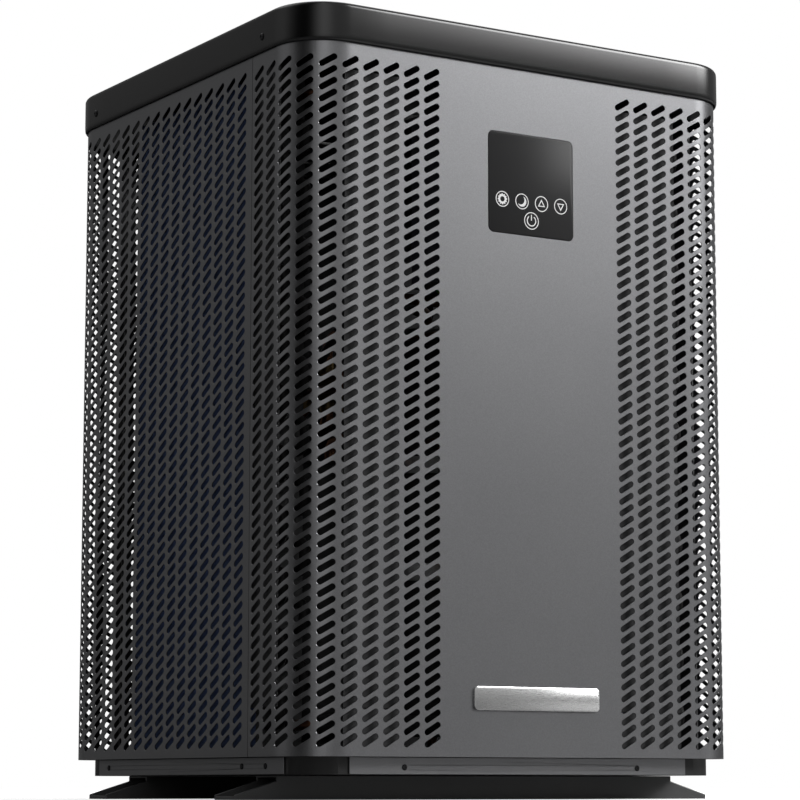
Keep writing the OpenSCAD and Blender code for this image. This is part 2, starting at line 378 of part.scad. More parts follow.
module water_stubs() color("#26272a") for (z=[inlet_z, outlet_z]) translate([water_x, 0, z]) rotate([-90, 0, 0]) difference() {
  union() { translate([0, 0, stub_y]) cylinder(h=hd+16-stub_y, r=29); translate([0, 0, hd-9]) cylinder(h=6, r=38); for (y=[2:4:14]) translate([0, 0, hd+y]) cylinder(h=2, r=32.4); translate([0, 0, hd+1]) cylinder(h=15, r=31.4); }
  translate([0, 0, stub_y-1]) cylinder(h=hd, r=22); if (z == inlet_z) translate([0, 0, 186]) rotate([90, 0, 0]) cylinder(h=60, r=10.5); }
module water_tailpieces() color("#d9dadb") for (z=[inlet_z, outlet_z]) translate([water_x, 0, z]) rotate([-90, 0, 0]) difference() {
  union() { translate([0, 0, hd+18]) cylinder(h=6, r=32.4); translate([0, 0, hd+18]) cylinder(h=18+socket_l, r=29.5); }
  translate([0, 0, hd+36]) cylinder(h=socket_l+20, r=pipe_r); translate([0, 0, hd]) cylinder(h=60, r=21.5); }
module union_nut(z) translate([water_x, 0, z]) rotate([-90, 0, 0]) difference() {
  union() { translate([0, 0, hd+1.5]) cylinder(h=28, r=39); for (a=[0:30:359]) rotate([0, 0, a]) translate([38.5, 0, hd+1.5]) cylinder(h=28, r=3.2); }
  translate([0, 0, hd]) cylinder(h=24.5, r=33); translate([0, 0, hd]) cylinder(h=40, r=30.2); }
module inlet_union_nut() color("#2f6fb0") union_nut(inlet_z);
module outlet_union_nut() color("#b0392f") union_nut(outlet_z);
module union_seals() color("#0e0e0f") for (z=[inlet_z, outlet_z]) translate([water_x, hd+16.9, z]) rotate([-90, 0, 0]) rotate_extrude() translate([25.5, 0]) circle(0.85);
module flow_switch() color("#d9dadb") translate([water_x, 186, inlet_z]) union() {
  difference() { translate([0, 0, 20]) cylinder(h=36, r=10.2); translate([0, 0, 19]) cylinder(h=14, r=8.6); }
  translate([0, 0, 27]) rotate([0, 90, 0]) cylinder(h=18.4, r=1.5, center=true);
  translate([-16, -14, 56]) cube([32, 28, 24]); }
module flow_paddle() color("#a0a3a6") translate([water_x, 186, inlet_z]) union() { difference() { translate([0, 0, 27]) rotate([0, 90, 0]) cylinder(h=10, r=3.2, center=true); translate([0, 0, 27]) rotate([0, 90, 0]) cylinder(h=12, r=1.55, center=true); }
  translate([-5, -0.6, 4]) cube([10, 1.2, 20.4]); translate([-7.5, -0.6, -12]) cube([15, 1.2, 17]); }

// ---- control ----
module electrical_box() color("#3a3c3f") difference() {
  translate([-76, -196, 436]) cube([164, 46, 148]);
  translate([-74.5, -197, 437.5]) cube([161, 45.5, 145]);
  translate([60, -160, 430]) cylinder(h=12, r=7);
}
module control_board() color("#1f6b3a") union() { translate([-72, -158, 442]) cube([156, 1.6, 136]);
  for (i=[0:4]) translate([-60+i*22, -180, 452]) cube([16, 22.5, 18]); translate([-64, -182, 480]) cube([40, 24.5, 32]); translate([40, -158.3, 540]) rotate([90, 0, 0]) cylinder(h=28, r=13); translate([0, -158.3, 560]) rotate([90, 0, 0]) cylinder(h=24, r=9); translate([-20, -180, 480]) cube([50, 22.5, 40]); }
module touch_glass() color("#18191b") translate([1.5, 0, disp_z]) rotate([90, 0, 0]) translate([0, 0, hd-1.6]) linear_extrude(2.2) rr(disp_w, disp_w, 5);
module display_housing() color("#101112") translate([1.5, 0, disp_z]) difference() {
  translate([-disp_w/2+3, -hd+1.8, -disp_w/2+3]) cube([disp_w-6, 14, disp_w-6]);
  translate([-disp_w/2+5, -hd+1, -disp_w/2+5]) cube([disp_w-10, 12.8, disp_w-10]);
}
module badge_plate() color("#a5a7aa") union() { translate([4, -hd-0.1, 83.5]) rotate([90, 0, 0]) linear_extrude(1.6) rr(128, 20, 4); for (x=[-45, 53]) translate([x, -hd-0.5, 83.5]) rotate([-90, 0, 0]) cylinder(h=3.5, r=1.4); }

module drain_spout() color("#1b1c1e") translate([40, -60, 0]) difference() {
  union() { translate([0, 0, pan_z0+1.8]) cylinder(h=2, r=14); translate([0, 0, pan_z0-1.5]) cylinder(h=4, r=9); translate([0, 0, 4]) cylinder(h=16, r=8); }
  cylinder(h=40, r=5.5);
}
module cable_gland() color("#1b1c1e") translate([-90, 0, 100]) rotate([-90, 0, 0]) difference() {
  union() { translate([0, 0, hd-12]) cylinder(h=16, r=8); translate([0, 0, hd-6.5]) hexhead(20, 5); translate([0, 0, hd+0.3]) hexhead(22, 7); translate([0, 0, hd+7]) cylinder(h=12, r=10.4); }
  translate([0, 0, hd-20]) cylinder(h=60, r=6.5);
}

placed() base_pan();
placed() plinth_trims();
placed() sheet_screws();
placed() front_foot_rail();
placed() rear_foot_rail();
placed() front_panel();
placed() left_panel();
placed() right_panel();
placed() rear_panel();
placed() front_baffle();
placed() rear_baffle();
placed() top_cover();
placed() cover_screws();
placed() fan_guard();
placed() fan_deck();
placed() motor_bracket();
placed() motor_bolts();
placed() fan_motor_housing();
placed() fan_motor_end_cap();
placed() fan_motor_stator();
placed() fan_motor_rotor();
placed() motor_shaft();
placed() bearing_outer_rings();
placed() bearing_inner_rings();
placed() fan_impeller();
placed() fan_nut();
placed() left_coil_fins();
placed() right_coil_fins();
placed() coil_tube_sheets();
placed() compressor_shell();
placed() compressor_stator();
placed() compressor_rotor();
placed() compressor_pump_block();
placed() compressor_grommets();
placed() terminal_cover();
placed() accumulator();
placed() reversing_valve();
placed() valve_slide();
placed() valve_coil();
placed() expansion_valve();
placed() refrigerant_pipes();
placed() exchanger_shell();
placed() titanium_coil();
placed() exchanger_straps();
placed() water_stubs();
placed() water_tailpieces();
placed() inlet_union_nut();
placed() outlet_union_nut();
placed() union_seals();
placed() flow_switch();
placed() flow_paddle();
placed() electrical_box();
placed() control_board();
placed() badge_plate();
placed() frame_bolts();
placed() coil_tubes();
placed() display_housing();
placed() touch_glass();
placed() drain_spout();
placed() cable_gland();
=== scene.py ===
import bpy
import bmesh
import json
import math
import numpy as np
from mathutils import Vector, Matrix
from mathutils.geometry import tessellate_polygon


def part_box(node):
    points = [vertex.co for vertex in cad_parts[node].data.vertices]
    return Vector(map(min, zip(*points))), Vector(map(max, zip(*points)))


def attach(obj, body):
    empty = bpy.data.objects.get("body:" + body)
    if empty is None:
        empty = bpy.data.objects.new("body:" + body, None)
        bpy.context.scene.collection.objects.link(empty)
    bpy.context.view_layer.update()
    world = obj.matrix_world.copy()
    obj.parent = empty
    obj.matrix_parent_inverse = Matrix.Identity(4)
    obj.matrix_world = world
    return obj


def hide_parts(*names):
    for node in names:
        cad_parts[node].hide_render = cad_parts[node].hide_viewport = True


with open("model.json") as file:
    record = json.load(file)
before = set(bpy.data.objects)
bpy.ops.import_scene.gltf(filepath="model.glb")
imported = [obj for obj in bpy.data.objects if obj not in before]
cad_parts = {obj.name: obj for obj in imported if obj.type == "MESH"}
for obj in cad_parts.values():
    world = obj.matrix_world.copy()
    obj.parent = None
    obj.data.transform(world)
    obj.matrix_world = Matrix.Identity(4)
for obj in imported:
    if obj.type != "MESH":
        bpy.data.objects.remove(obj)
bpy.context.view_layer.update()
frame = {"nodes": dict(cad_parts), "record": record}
NODE = frame["nodes"]
MM = 0.001
ROOT = "cabinet"
# the scripts below place everything about the fan axis; the frame's origin is the centre of the footprint
OFF_Y = sum((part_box("motor_shaft")[i].y for i in (0, 1))) / 2 / MM

# ------------------------------------------------------------------ materials
def new_mat(name):
    m = bpy.data.materials.new(name)
    m.use_nodes = True
    nt = m.node_tree
    for n in list(nt.nodes):
        nt.nodes.remove(n)
    out = nt.nodes.new("ShaderNodeOutputMaterial")
    b = nt.nodes.new("ShaderNodeBsdfPrincipled")
    nt.links.new(b.outputs[0], out.inputs[0])
    return m, nt, b

def nd(nt, kind, **kw):
    n = nt.nodes.new(kind)
    for k, v in kw.items():
        setattr(n, k, v)
    return n

def coords(nt, scale=(1, 1, 1), rot=(0, 0, 0)):
    tc = nd(nt, "ShaderNodeTexCoord")
    mp = nd(nt, "ShaderNodeMapping")
    mp.inputs["Scale"].default_value = scale
    mp.inputs["Rotation"].default_value = rot
    nt.links.new(tc.outputs["Object"], mp.inputs["Vector"])
    return mp.outputs[0]

def noise(nt, vec, scale, detail=3.0, rough=0.5):
    n = nd(nt, "ShaderNodeTexNoise")
    n.inputs["Scale"].default_value = scale
    n.inputs["Detail"].default_value = detail
    n.inputs["Roughness"].default_value = rough
    nt.links.new(vec, n.inputs["Vector"])
    return n.outputs["Fac"]

def ramp(nt, fac, lo, hi, c0, c1):
    r = nd(nt, "ShaderNodeValToRGB")
    r.color_ramp.elements[0].position = lo
    r.color_ramp.elements[1].position = hi
    r.color_ramp.elements[0].color = (*c0, 1) if len(c0) == 3 else c0
    r.color_ramp.elements[1].color = (*c1, 1) if len(c1) == 3 else c1
    nt.links.new(fac, r.inputs[0])
    return r.outputs[0]

def maprange(nt, fac, a, b):
    r = nd(nt, "ShaderNodeMapRange")
    r.inputs["To Min"].default_value = a
    r.inputs["To Max"].default_value = b
    nt.links.new(fac, r.inputs["Value"])
    return r.outputs[0]

def bump(nt, b, height, strength, dist):
    bp = nd(nt, "ShaderNodeBump")
    bp.inputs["Strength"].default_value = strength
    bp.inputs["Distance"].default_value = dist
    nt.links.new(height, bp.inputs["Height"])
    nt.links.new(bp.outputs[0], b.inputs["Normal"])
    return bp

def coat_metal(name, col, rough=0.36, metallic=0.75, flake=0.16, grain=0.25, coat=0.15, cell=2600, dr=0.06):
    """Metallic powder coat: base colour with fine flakes, faint mottling and an orange-peel surface."""
    m, nt, b = new_mat(name)
    v = coords(nt)
    f = noise(nt, v, cell, 2, 0.6)
    l = noise(nt, v, 9, 3, 0.5)
    c1 = ramp(nt, f, 0.35, 0.68, [x * (1 - flake) for x in col], [min(1, x * (1 + flake)) for x in col])
    mix = nd(nt, "ShaderNodeMix", data_type="RGBA", blend_type="MULTIPLY")
    mix.inputs["Factor"].default_value = 0.5
    nt.links.new(c1, mix.inputs[6])
    c2 = ramp(nt, l, 0.3, 0.75, (0.93, 0.93, 0.94), (1.05, 1.05, 1.05))
    nt.links.new(c2, mix.inputs[7])
    nt.links.new(mix.outputs[2], b.inputs["Base Color"])
    b.inputs["Metallic"].default_value = metallic
    nt.links.new(maprange(nt, f, rough - dr * 0.85, rough + dr * 1.15), b.inputs["Roughness"])
    b.inputs["Coat Weight"].default_value = coat
    b.inputs["Coat Roughness"].default_value = 0.25
    peel = noise(nt, v, 700, 2, 0.5)
    bump(nt, b, peel, grain, 0.00006)
    return m

def plastic(name, col, rough=0.45, tex=900, grain=0.3, sheen=0.0):
    m, nt, b = new_mat(name)
    v = coords(nt)
    f = noise(nt, v, tex, 3, 0.6)
    l = noise(nt, v, 14, 3, 0.5)
    nt.links.new(ramp(nt, l, 0.3, 0.75, [x * 0.9 for x in col], [min(1, x * 1.08) for x in col]), b.inputs["Base Color"])
    nt.links.new(maprange(nt, f, rough - 0.06, rough + 0.08), b.inputs["Roughness"])
    bump(nt, b, f, grain, 0.00008)
    return m

def metal(name, col, rough=0.3, tint=0.12, scale=(1, 1, 1), fine=600, metallic=1.0, spot=0.0):
    """Bare metal: stretched brushing or cast grain from the coordinate scale, with tarnish in patches."""
    m, nt, b = new_mat(name)
    v = coords(nt, scale)
    f = noise(nt, v, fine, 4, 0.6)
    l = noise(nt, coords(nt), 22, 4, 0.6)
    nt.links.new(ramp(nt, l, 0.32, 0.72, [x * (1 - tint) for x in col], [min(1, x * (1 + tint * 0.6)) for x in col]), b.inputs["Base Color"])
    b.inputs["Metallic"].default_value = metallic
    nt.links.new(maprange(nt, f, max(0.05, rough - 0.1), rough + 0.12), b.inputs["Roughness"])
    bump(nt, b, f, 0.18, 0.00006)
    return m

def galv(name):
    """Zinc sheet with spangle."""
    m, nt, b = new_mat(name)
    v = coords(nt)
    vo = nd(nt, "ShaderNodeTexVoronoi")
    vo.inputs["Scale"].default_value = 160
    nt.links.new(v, vo.inputs["Vector"])
    sep = nd(nt, "ShaderNodeSeparateColor")
    nt.links.new(vo.outputs["Color"], sep.inputs[0])
    nt.links.new(ramp(nt, sep.outputs[0], 0.1, 0.9, (0.40, 0.41, 0.42), (0.60, 0.61, 0.62)), b.inputs["Base Color"])
    b.inputs["Metallic"].default_value = 0.9
    nt.links.new(maprange(nt, sep.outputs[1], 0.28, 0.5), b.inputs["Roughness"])
    return m

def rubber(name):
    return plastic(name, (0.012, 0.012, 0.013), 0.72, 1400, 0.4)

MATS = {}
MATS["front_panel"] = coat_metal("front_panel", (0.205, 0.206, 0.212), 0.305, 1.0, flake=0.075, grain=0.05, coat=0.0, cell=1150, dr=0.03)
# the side and rear sheets get the front panel finish a shade darker: painted shade for the sides turned away from the
# light
MATS["dark_panel"] = coat_metal("dark_panel", (0.200, 0.201, 0.207), 0.305, 1.0, flake=0.075, grain=0.05, coat=0.0, cell=1150, dr=0.03)
MATS["trim"] = coat_metal("trim", (0.225, 0.226, 0.232), 0.34, 1.0, flake=0.10, grain=0.12, coat=0.0)
MATS["cover"] = coat_metal("cover", (0.0045, 0.0045, 0.0046), 0.20, 0.0, flake=0.08, grain=0.04, coat=0.0)
MATS["black_steel"] = coat_metal("black_steel", (0.0105, 0.0105, 0.0108), 0.36, 0.0, flake=0.1, grain=0.12, coat=0.0)
MATS["dark_steel"] = coat_metal("dark_steel", (0.045, 0.045, 0.048), 0.5, 0.0, flake=0.1, grain=0.2, coat=0.0)
MATS["motor_paint"] = coat_metal("motor_paint", (0.02, 0.02, 0.021), 0.35, 0.2, grain=0.6)
MATS["galvanised"] = galv("galvanised")
MATS["zinc_steel"] = metal("zinc_steel", (0.55, 0.55, 0.52), 0.3)
MATS["dark_screw"] = metal("dark_screw", (0.035, 0.035, 0.037), 0.35, metallic=0.8)
MATS["steel"] = metal("steel", (0.56, 0.57, 0.58), 0.22, scale=(1, 1, 30), fine=120)
MATS["cast_aluminium"] = metal("cast_aluminium", (0.50, 0.51, 0.52), 0.5, fine=900)
MATS["cast_iron"] = metal("cast_iron", (0.12, 0.12, 0.12), 0.55, fine=700)
# copper and brass are darkened far below bright metal: partly tarnish, partly painted shade that dims their glints
# inside the cabinet
MATS["copper"] = metal("copper", (0.20, 0.095, 0.055), 0.34, tint=0.35)
MATS["brass"] = metal("brass", (0.16, 0.115, 0.055), 0.42, tint=0.2)
MATS["titanium"] = metal("titanium", (0.42, 0.40, 0.37), 0.3)
MATS["blue_fins"] = coat_metal("blue_fins", (0.17, 0.23, 0.42), 0.38, 0.3, flake=0.05, grain=0.1)
MATS["black_plastic"] = plastic("black_plastic", (0.016, 0.016, 0.017), 0.42)
MATS["white_plastic"] = plastic("white_plastic", (0.62, 0.62, 0.60), 0.38, 500, 0.15)
MATS["black_rubber"] = rubber("black_rubber")
MATS["windings"] = metal("windings", (0.45, 0.18, 0.06), 0.3, scale=(60, 60, 1), fine=40)
MATS["board"] = plastic("board", (0.012, 0.11, 0.035), 0.3, 300, 0.1)

def glass_mat():
    m, nt, b = new_mat("touch_glass")
    v = coords(nt)
    l = noise(nt, v, 6, 2, 0.5)
    nt.links.new(ramp(nt, l, 0.2, 0.8, (0.025, 0.025, 0.0255), (0.031, 0.031, 0.0315)), b.inputs["Base Color"])
    b.inputs["Roughness"].default_value = 0.30
    b.inputs["Specular IOR Level"].default_value = 0.065
    return m
MATS["touch_glass"] = glass_mat()

def glowing_print_mat():
    m, nt, b = new_mat("screen_print")
    v = coords(nt)
    l = noise(nt, v, 800, 2, 0.5)
    nt.links.new(ramp(nt, l, 0.2, 0.8, (0.52, 0.52, 0.52), (0.62, 0.62, 0.62)), b.inputs["Base Color"])
    b.inputs["Roughness"].default_value = 0.5
    # the print also glows faintly: painted light that brightens the symbols
    b.inputs["Emission Color"].default_value = (0.6, 0.6, 0.6, 1)
    b.inputs["Emission Strength"].default_value = 0.25
    return m
MATS["screen_print"] = glowing_print_mat()
MATS["badge"] = metal("badge", (0.62, 0.62, 0.62), 0.26, tint=0.06, scale=(1, 1, 40), fine=160)

def cable_mat(name, col, col2=None):
    m, nt, b = new_mat(name)
    v = coords(nt)
    if col2:
        w = nd(nt, "ShaderNodeTexWave")
        w.inputs["Scale"].default_value = 60
        w.inputs["Distortion"].default_value = 1.5
        nt.links.new(v, w.inputs["Vector"])
        nt.links.new(ramp(nt, w.outputs["Fac"], 0.45, 0.55, col, col2), b.inputs["Base Color"])
    else:
        nt.links.new(ramp(nt, noise(nt, v, 90), 0.3, 0.7, [x * 0.85 for x in col], col), b.inputs["Base Color"])
    b.inputs["Roughness"].default_value = 0.4
    return m
MATS["wire_black"] = cable_mat("wire_black", (0.015, 0.015, 0.016))
MATS["wire_earth"] = cable_mat("wire_earth", (0.05, 0.30, 0.04), (0.62, 0.55, 0.03))
MATS["wire_brown"] = cable_mat("wire_brown", (0.13, 0.05, 0.02))
MATS["wire_blue"] = cable_mat("wire_blue", (0.02, 0.08, 0.35))

slot_of = {s["node"]: s["material_slot"] for s in frame["record"]["subparts"]}

# ------------------------------------------------------------------ mesh helpers
def add_mesh(name, verts, faces, mat, body=ROOT, angle=35, slot=None, scale=MM, replaces=()):
    me = bpy.data.meshes.new(name)
    v = (np.asarray(verts, float) + np.array([0.0, OFF_Y, 0.0])) * scale
    me.from_pydata(v.tolist(), [], [tuple(int(i) for i in f) for f in faces])
    me.validate()
    me.update()
    o = bpy.data.objects.new(name, me)
    bpy.context.scene.collection.objects.link(o)
    me.materials.append(MATS[mat])
    me.shade_smooth()
    me.set_sharp_from_angle(angle=math.radians(angle))
    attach(o, body)
    if replaces:
        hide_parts(*replaces)
    return o

class Builder:
    """Collects parts into one mesh."""
    def __init__(self):
        self.v, self.f = [], []
    def add(self, verts, faces):
        n = len(self.v)
        self.v += [tuple(p) for p in verts]
        self.f += [tuple(i + n for i in f) for f in faces]
    def obj(self, name, mat, **kw):
        return add_mesh(name, self.v, self.f, mat, **kw)

def lathe(profile, n=64, centre=(0, 0, 0), axis="z", closed=False):
    """profile of (r, h) turned about an axis; open ends on the axis are closed by r=0 points."""
    verts, faces = [], []
    rows = []
    for r, h in profile:
        if r < 1e-6:
            verts.append((0, 0, h)); rows.append([len(verts) - 1] * n)
        else:
            row = []
            for i in range(n):
                a = 2 * math.pi * i / n
                verts.append((r * math.cos(a), r * math.sin(a), h)); row.append(len(verts) - 1)
            rows.append(row)
    pairs = list(zip(rows, rows[1:])) + ([(rows[-1], rows[0])] if closed else [])
    for a, b in pairs:
        for i in range(n):
            j = (i + 1) % n
            q = [a[i], a[j], b[j], b[i]]
            u = []
            for k in q:
                if k not in u: u.append(k)
            if len(u) > 2: faces.append(tuple(u))
    out = []
    for x, y, z in verts:
        if axis == "y": x, y, z = x, z, -y
        elif axis == "-y": x, y, z = x, -z, y
        elif axis == "x": x, y, z = z, x, y
        out.append((x + centre[0], y + centre[1], z + centre[2]))
    return out, faces

def fillet_path(pts, rad, seg=7):
    """polyline with rounded corners"""
    pts = [np.array(p, float) for p in pts]
    out = [pts[0]]
    for a, b, c in zip(pts, pts[1:], pts[2:]):
        u, w = a - b, c - b
        lu, lw = np.linalg.norm(u), np.linalg.norm(w)
        u, w = u / lu, w / lw
        ang = math.acos(max(-1, min(1, float(u @ w))))
        if ang > math.pi - 0.05:
            out.append(b); continue
        t = min(rad / math.tan(ang / 2), lu * 0.48, lw * 0.48)
        r = t * math.tan(ang / 2)
        mid = (u + w) / np.linalg.norm(u + w)
        cen = b + mid * r / math.sin(ang / 2)
        p0, p1 = b + u * t, b + w * t
        e0 = p0 - cen; e1 = p1 - cen
        tot = math.acos(max(-1, min(1, float(e0 @ e1) / (np.linalg.norm(e0) * np.linalg.norm(e1)))))
        for i in range(seg + 1):
            s = i / seg
            out.append(cen + (math.sin((1 - s) * tot) * e0 + math.sin(s * tot) * e1) / math.sin(tot))
    out.append(pts[-1])
    return out

def sweep(path, r, n=12, caps=True, hollow=None):
    path = [np.array(p, float) for p in path]
    clean = [path[0]]
    for p in path[1:]:
        if np.linalg.norm(p - clean[-1]) > 1e-6: clean.append(p)
    path = clean
    T = []
    for i in range(len(path)):
        a = path[max(0, i - 1)]; b = path[min(len(path) - 1, i + 1)]
        t = b - a; T.append(t / np.linalg.norm(t))
    up = np.array([0, 0, 1.0]) if abs(T[0][2]) < 0.9 else np.array([1.0, 0, 0])
    N = np.cross(T[0], up); N /= np.linalg.norm(N)
    verts, faces = [], []
    for i, p in enumerate(path):
        N = N - (N @ T[i]) * T[i]; N /= np.linalg.norm(N)
        B = np.cross(T[i], N)
        rr_ = r[i] if hasattr(r, "__len__") else r
        for k in range(n):
            a = 2 * math.pi * k / n
            verts.append(p + rr_ * (math.cos(a) * N + math.sin(a) * B))
    for i in range(len(path) - 1):
        for k in range(n):
            j = (k + 1) % n
            faces.append((i * n + k, i * n + j, (i + 1) * n + j, (i + 1) * n + k))
    if caps:
        faces.append(tuple(reversed(range(n))))
        faces.append(tuple(range((len(path) - 1) * n, len(path) * n)))
    return verts, faces

def rr_loop(w, d, r, nc=12, ns=10):
    """closed loop round a rounded rectangle, counter-clockwise, equal count for every size"""
    pts = []
    cx, cy = w / 2 - r, d / 2 - r
    corners = [(cx, cy, 0), (-cx, cy, 90), (-cx, -cy, 180), (cx, -cy, 270)]
    for q, (x, y, a0) in enumerate(corners):
        for i in range(nc + 1):
            a = math.radians(a0 + 90 * i / nc)
            pts.append((x + r * math.cos(a), y + r * math.sin(a)))
        nx, ny, na = corners[(q + 1) % 4]
        p = pts[-1]; a = math.radians(na)
        e = (nx + r * math.cos(a), ny + r * math.sin(a))
        for i in range(1, ns):
            pts.append((p[0] + (e[0] - p[0]) * i / ns, p[1] + (e[1] - p[1]) * i / ns))
    return pts

def loft(loops, closed=True):
    """loops of 3-D points with equal counts, joined in order; closed joins last to first"""
    n = len(loops[0]); verts = [p for l in loops for p in l]; faces = []
    m = len(loops)
    for i in range(m if closed else m - 1):
        a, b = i * n, ((i + 1) % m) * n
        for k in range(n):
            j = (k + 1) % n
            faces.append((a + k, a + j, b + j, b + k))
    return verts, faces

def bevel_cad(name, width=0.4, seg=2, angle=35):
    o = NODE[name]
    w = o.modifiers.new("weld", "WELD"); w.merge_threshold = 0.00001
    b = o.modifiers.new("bevel", "BEVEL"); b.width = width * MM; b.segments = seg; b.limit_method = "ANGLE"; b.angle_limit = math.radians(angle)
    b.harden_normals = False

# ------------------------------------------------------------------ perforated sheets
W, D, R, T = 452.0, 440.0, 45.0, 0.8
HW, HD = W / 2, D / 2
FX, FY = HW - R, HD - R
ARC = math.pi * R / 2
Z0, Z1 = 35.0, 645.0
ROWZ = [48.0 + 10 * k for k in range(57)]
SL, SW, SA = 17.1, 5.1, math.radians(30)

def wrap(s, dep):
    """place on the wrapped sheet: s runs to the viewer's right, 0 at the middle of the front"""
    a, g = abs(s), (-1 if s < 0 else 1)
    if a <= FX: return (s, -HD + dep)
    if a <= FX + ARC:
        f = (a - FX) / R; q = R - dep
        return (g * (FX + q * math.sin(f)), -FY - q * math.cos(f))
    if a <= FX + ARC + 2 * FY: return (g * (HW - dep), -FY + (a - FX - ARC))
    if a <= FX + 2 * ARC + 2 * FY:
        f = (a - FX - ARC - 2 * FY) / R; q = R - dep
        return (g * (FX + q * math.cos(f)), FY + q * math.sin(f))
    return (g * (FX - (a - FX - 2 * ARC - 2 * FY)), HD - dep)

def rear(s, dep):
    return (-s, HD - dep)

def hole_ring(sc, zc, grow):
    """22 points round a slot, counter-clockwise, the tip of the right end between points 4 and 5"""
    r = SW / 2 + grow; h = (SL - SW) / 2
    ux, uz = math.cos(SA), math.sin(SA)
    pts = []
    for side in (1, -1):
        for i in range(10):
            a = SA + (0 if side == 1 else math.pi) - math.pi / 2 + math.pi * i / 9
            pts.append((sc + side * h * ux + r * math.cos(a), zc + side * h * uz + r * math.sin(a)))
        pts.append((sc - side * 0 + r * math.cos(SA + side * math.pi / 2), zc + r * math.sin(SA + side * math.pi / 2)))
    return pts

def cell_ring(sc, zc, hx, m=10):
    out = [(sc + hx, zc), (sc + hx, zc + 10)]
    for i in range(1, m + 1):
        out.append((sc + hx - 2 * hx * i / m, zc + 10 - 10 * i / m))
    out.append((sc - hx, zc - 10))
    for i in range(1, m):
        out.append((sc - hx + 2 * hx * i / m, zc - 10 + 10 * i / m))
    return out

class Sheet:
    def __init__(self, mapping):
        self.map = mapping
        self.idx = {}
        self.pts = []
        self.front = []     # faces of the outer side, including the hole bevels
        self.back = []
    def vid(self, s, z, d):
        k = (round(s, 4), round(z, 4), round(d, 3))
        if k not in self.idx:
            self.idx[k] = len(self.pts); self.pts.append((s, z, d))
        return self.idx[k]
    def face(self, pts2d):
        f = [self.vid(s, z, 0) for s, z in pts2d]
        u = [a for i, a in enumerate(f) if a != f[i - 1]]
        if len(set(u)) < 3: return
        self.front.append(tuple(u))
        self.back.append(tuple(reversed([self.vid(self.pts[i][0], self.pts[i][1], T) for i in u])))
    def cell(self, sc, zc, hx, slot=True):
        o = cell_ring(sc, zc, hx)
        if not slot:
            m = 10
            top = [o[1 + i] for i in range(m + 1)][::-1]
            bot = [o[12 + i] if i else o[12] for i in range(m)] + [o[0]]
            for i in range(m): self.face([bot[i], bot[i + 1], top[i + 1], top[i]])
            return
        h0 = hole_ring(sc, zc, 0.16); h1 = hole_ring(sc, zc, 0.0)
        n = 22
        A = [self.vid(s, z, 0) for s, z in o]; B = [self.vid(s, z, 0) for s, z in h0]
        C = [self.vid(s, z, 0.16) for s, z in h1]; E = [self.vid(s, z, T) for s, z in h1]; F = [self.vid(s, z, T) for s, z in o]
        for i in range(n):
            j = (i + 1) % n; p, q = (i + 4) % n, (i + 5) % n
            self.front.append((A[i], A[j], B[q], B[p]))
            self.front.append((B[p], B[q], C[q], C[p]))
            self.back.append((F[j], F[i], E[p], E[q]))
    def strip(self, left, right):
        """fills between two vertical runs of points at two s values by zipping them"""
        i = j = 0
        while i < len(left) - 1 or j < len(right) - 1:
            if j == len(right) - 1 or (i < len(left) - 1 and left[i + 1][1] <= right[j + 1][1]):
                self.face([left[i], right[j], left[i + 1]]); i += 1
            else:
                self.face([left[i], right[j], right[j + 1]]); j += 1
    def region(self, outer, holes=()):
        loops = [[Vector((a, b, 0)) for a, b in outer]] + [[Vector((a, b, 0)) for a, b in h] for h in holes]
        flat = list(outer) + [p for h in holes for p in h]
        for t in tessellate_polygon(loops):
            p = [flat[i] for i in t]
            ar = (p[1][0] - p[0][0]) * (p[2][1] - p[0][1]) - (p[2][0] - p[0][0]) * (p[1][1] - p[0][1])
            if abs(ar) < 1e-7: continue
            self.face(p if ar > 0 else p[::-1])
    def build(self, name, mat, slot, replaces):
        cnt = {}
        for f in self.front:
            for a, b in zip(f, f[1:] + f[:1]): cnt[(a, b)] = 1
        walls = []
        for (a, b) in cnt:
            if (b, a) not in cnt:
                sa, sb = self.pts[a], self.pts[b]
                walls.append((b, a, self.vid(sa[0], sa[1], T), self.vid(sb[0], sb[1], T)))
        v = []
        for s, z, d in self.pts:
            x, y = self.map(s, d); v.append((x, y, z))
        return add_mesh(name, v, self.front + self.back + walls, mat, angle=28, slot=slot, replaces=replaces)

def col_edges(zlist, lo, hi):
    return [lo] + zlist + [hi]

def columns(sh, cols, hx, solid=lambda c, k: False, skip=lambda c, k: False):
    for ci, sc in enumerate(cols):
        for k, zc in enumerate(ROWZ):
            if skip(ci, k): continue
            sh.cell(sc, zc, hx, not solid(ci, k))
        lo = cell_ring(sc, ROWZ[0], hx)[12:] + [cell_ring(sc, ROWZ[0], hx)[0]]
        for a, b in zip(lo, lo[1:]):
            sh.face([(a[0], Z0), (b[0], Z0), b, a])
        hi = cell_ring(sc, ROWZ[-1], hx)[1:12][::-1]
        for a, b in zip(hi, hi[1:]):
            sh.face([a, b, (b[0], Z1), (a[0], Z1)])

def right_nodes(sc, hx):
    return [(sc + hx, z) for z in [Z0] + [r for r in ROWZ] + [ROWZ[-1] + 10, Z1]]
def left_nodes(sc, hx):
    return [(sc - hx, z) for z in [Z0, ROWZ[0] - 10] + [r for r in ROWZ] + [Z1]]

def rr2(w, h, r, cx, cz, n=6):
    pts = []
    for (sx, sz, a0) in [(1, 1, 0), (-1, 1, 90), (-1, -1, 180), (1, -1, 270)]:
        for i in range(n + 1):
            a = math.radians(a0 + 90 * i / n)
            pts.append((cx + sx * (w / 2 - r) + r * math.cos(a), cz + sz * (h / 2 - r) + r * math.sin(a)))
    return pts

DISP = (1.5, 523.5, 88.0)
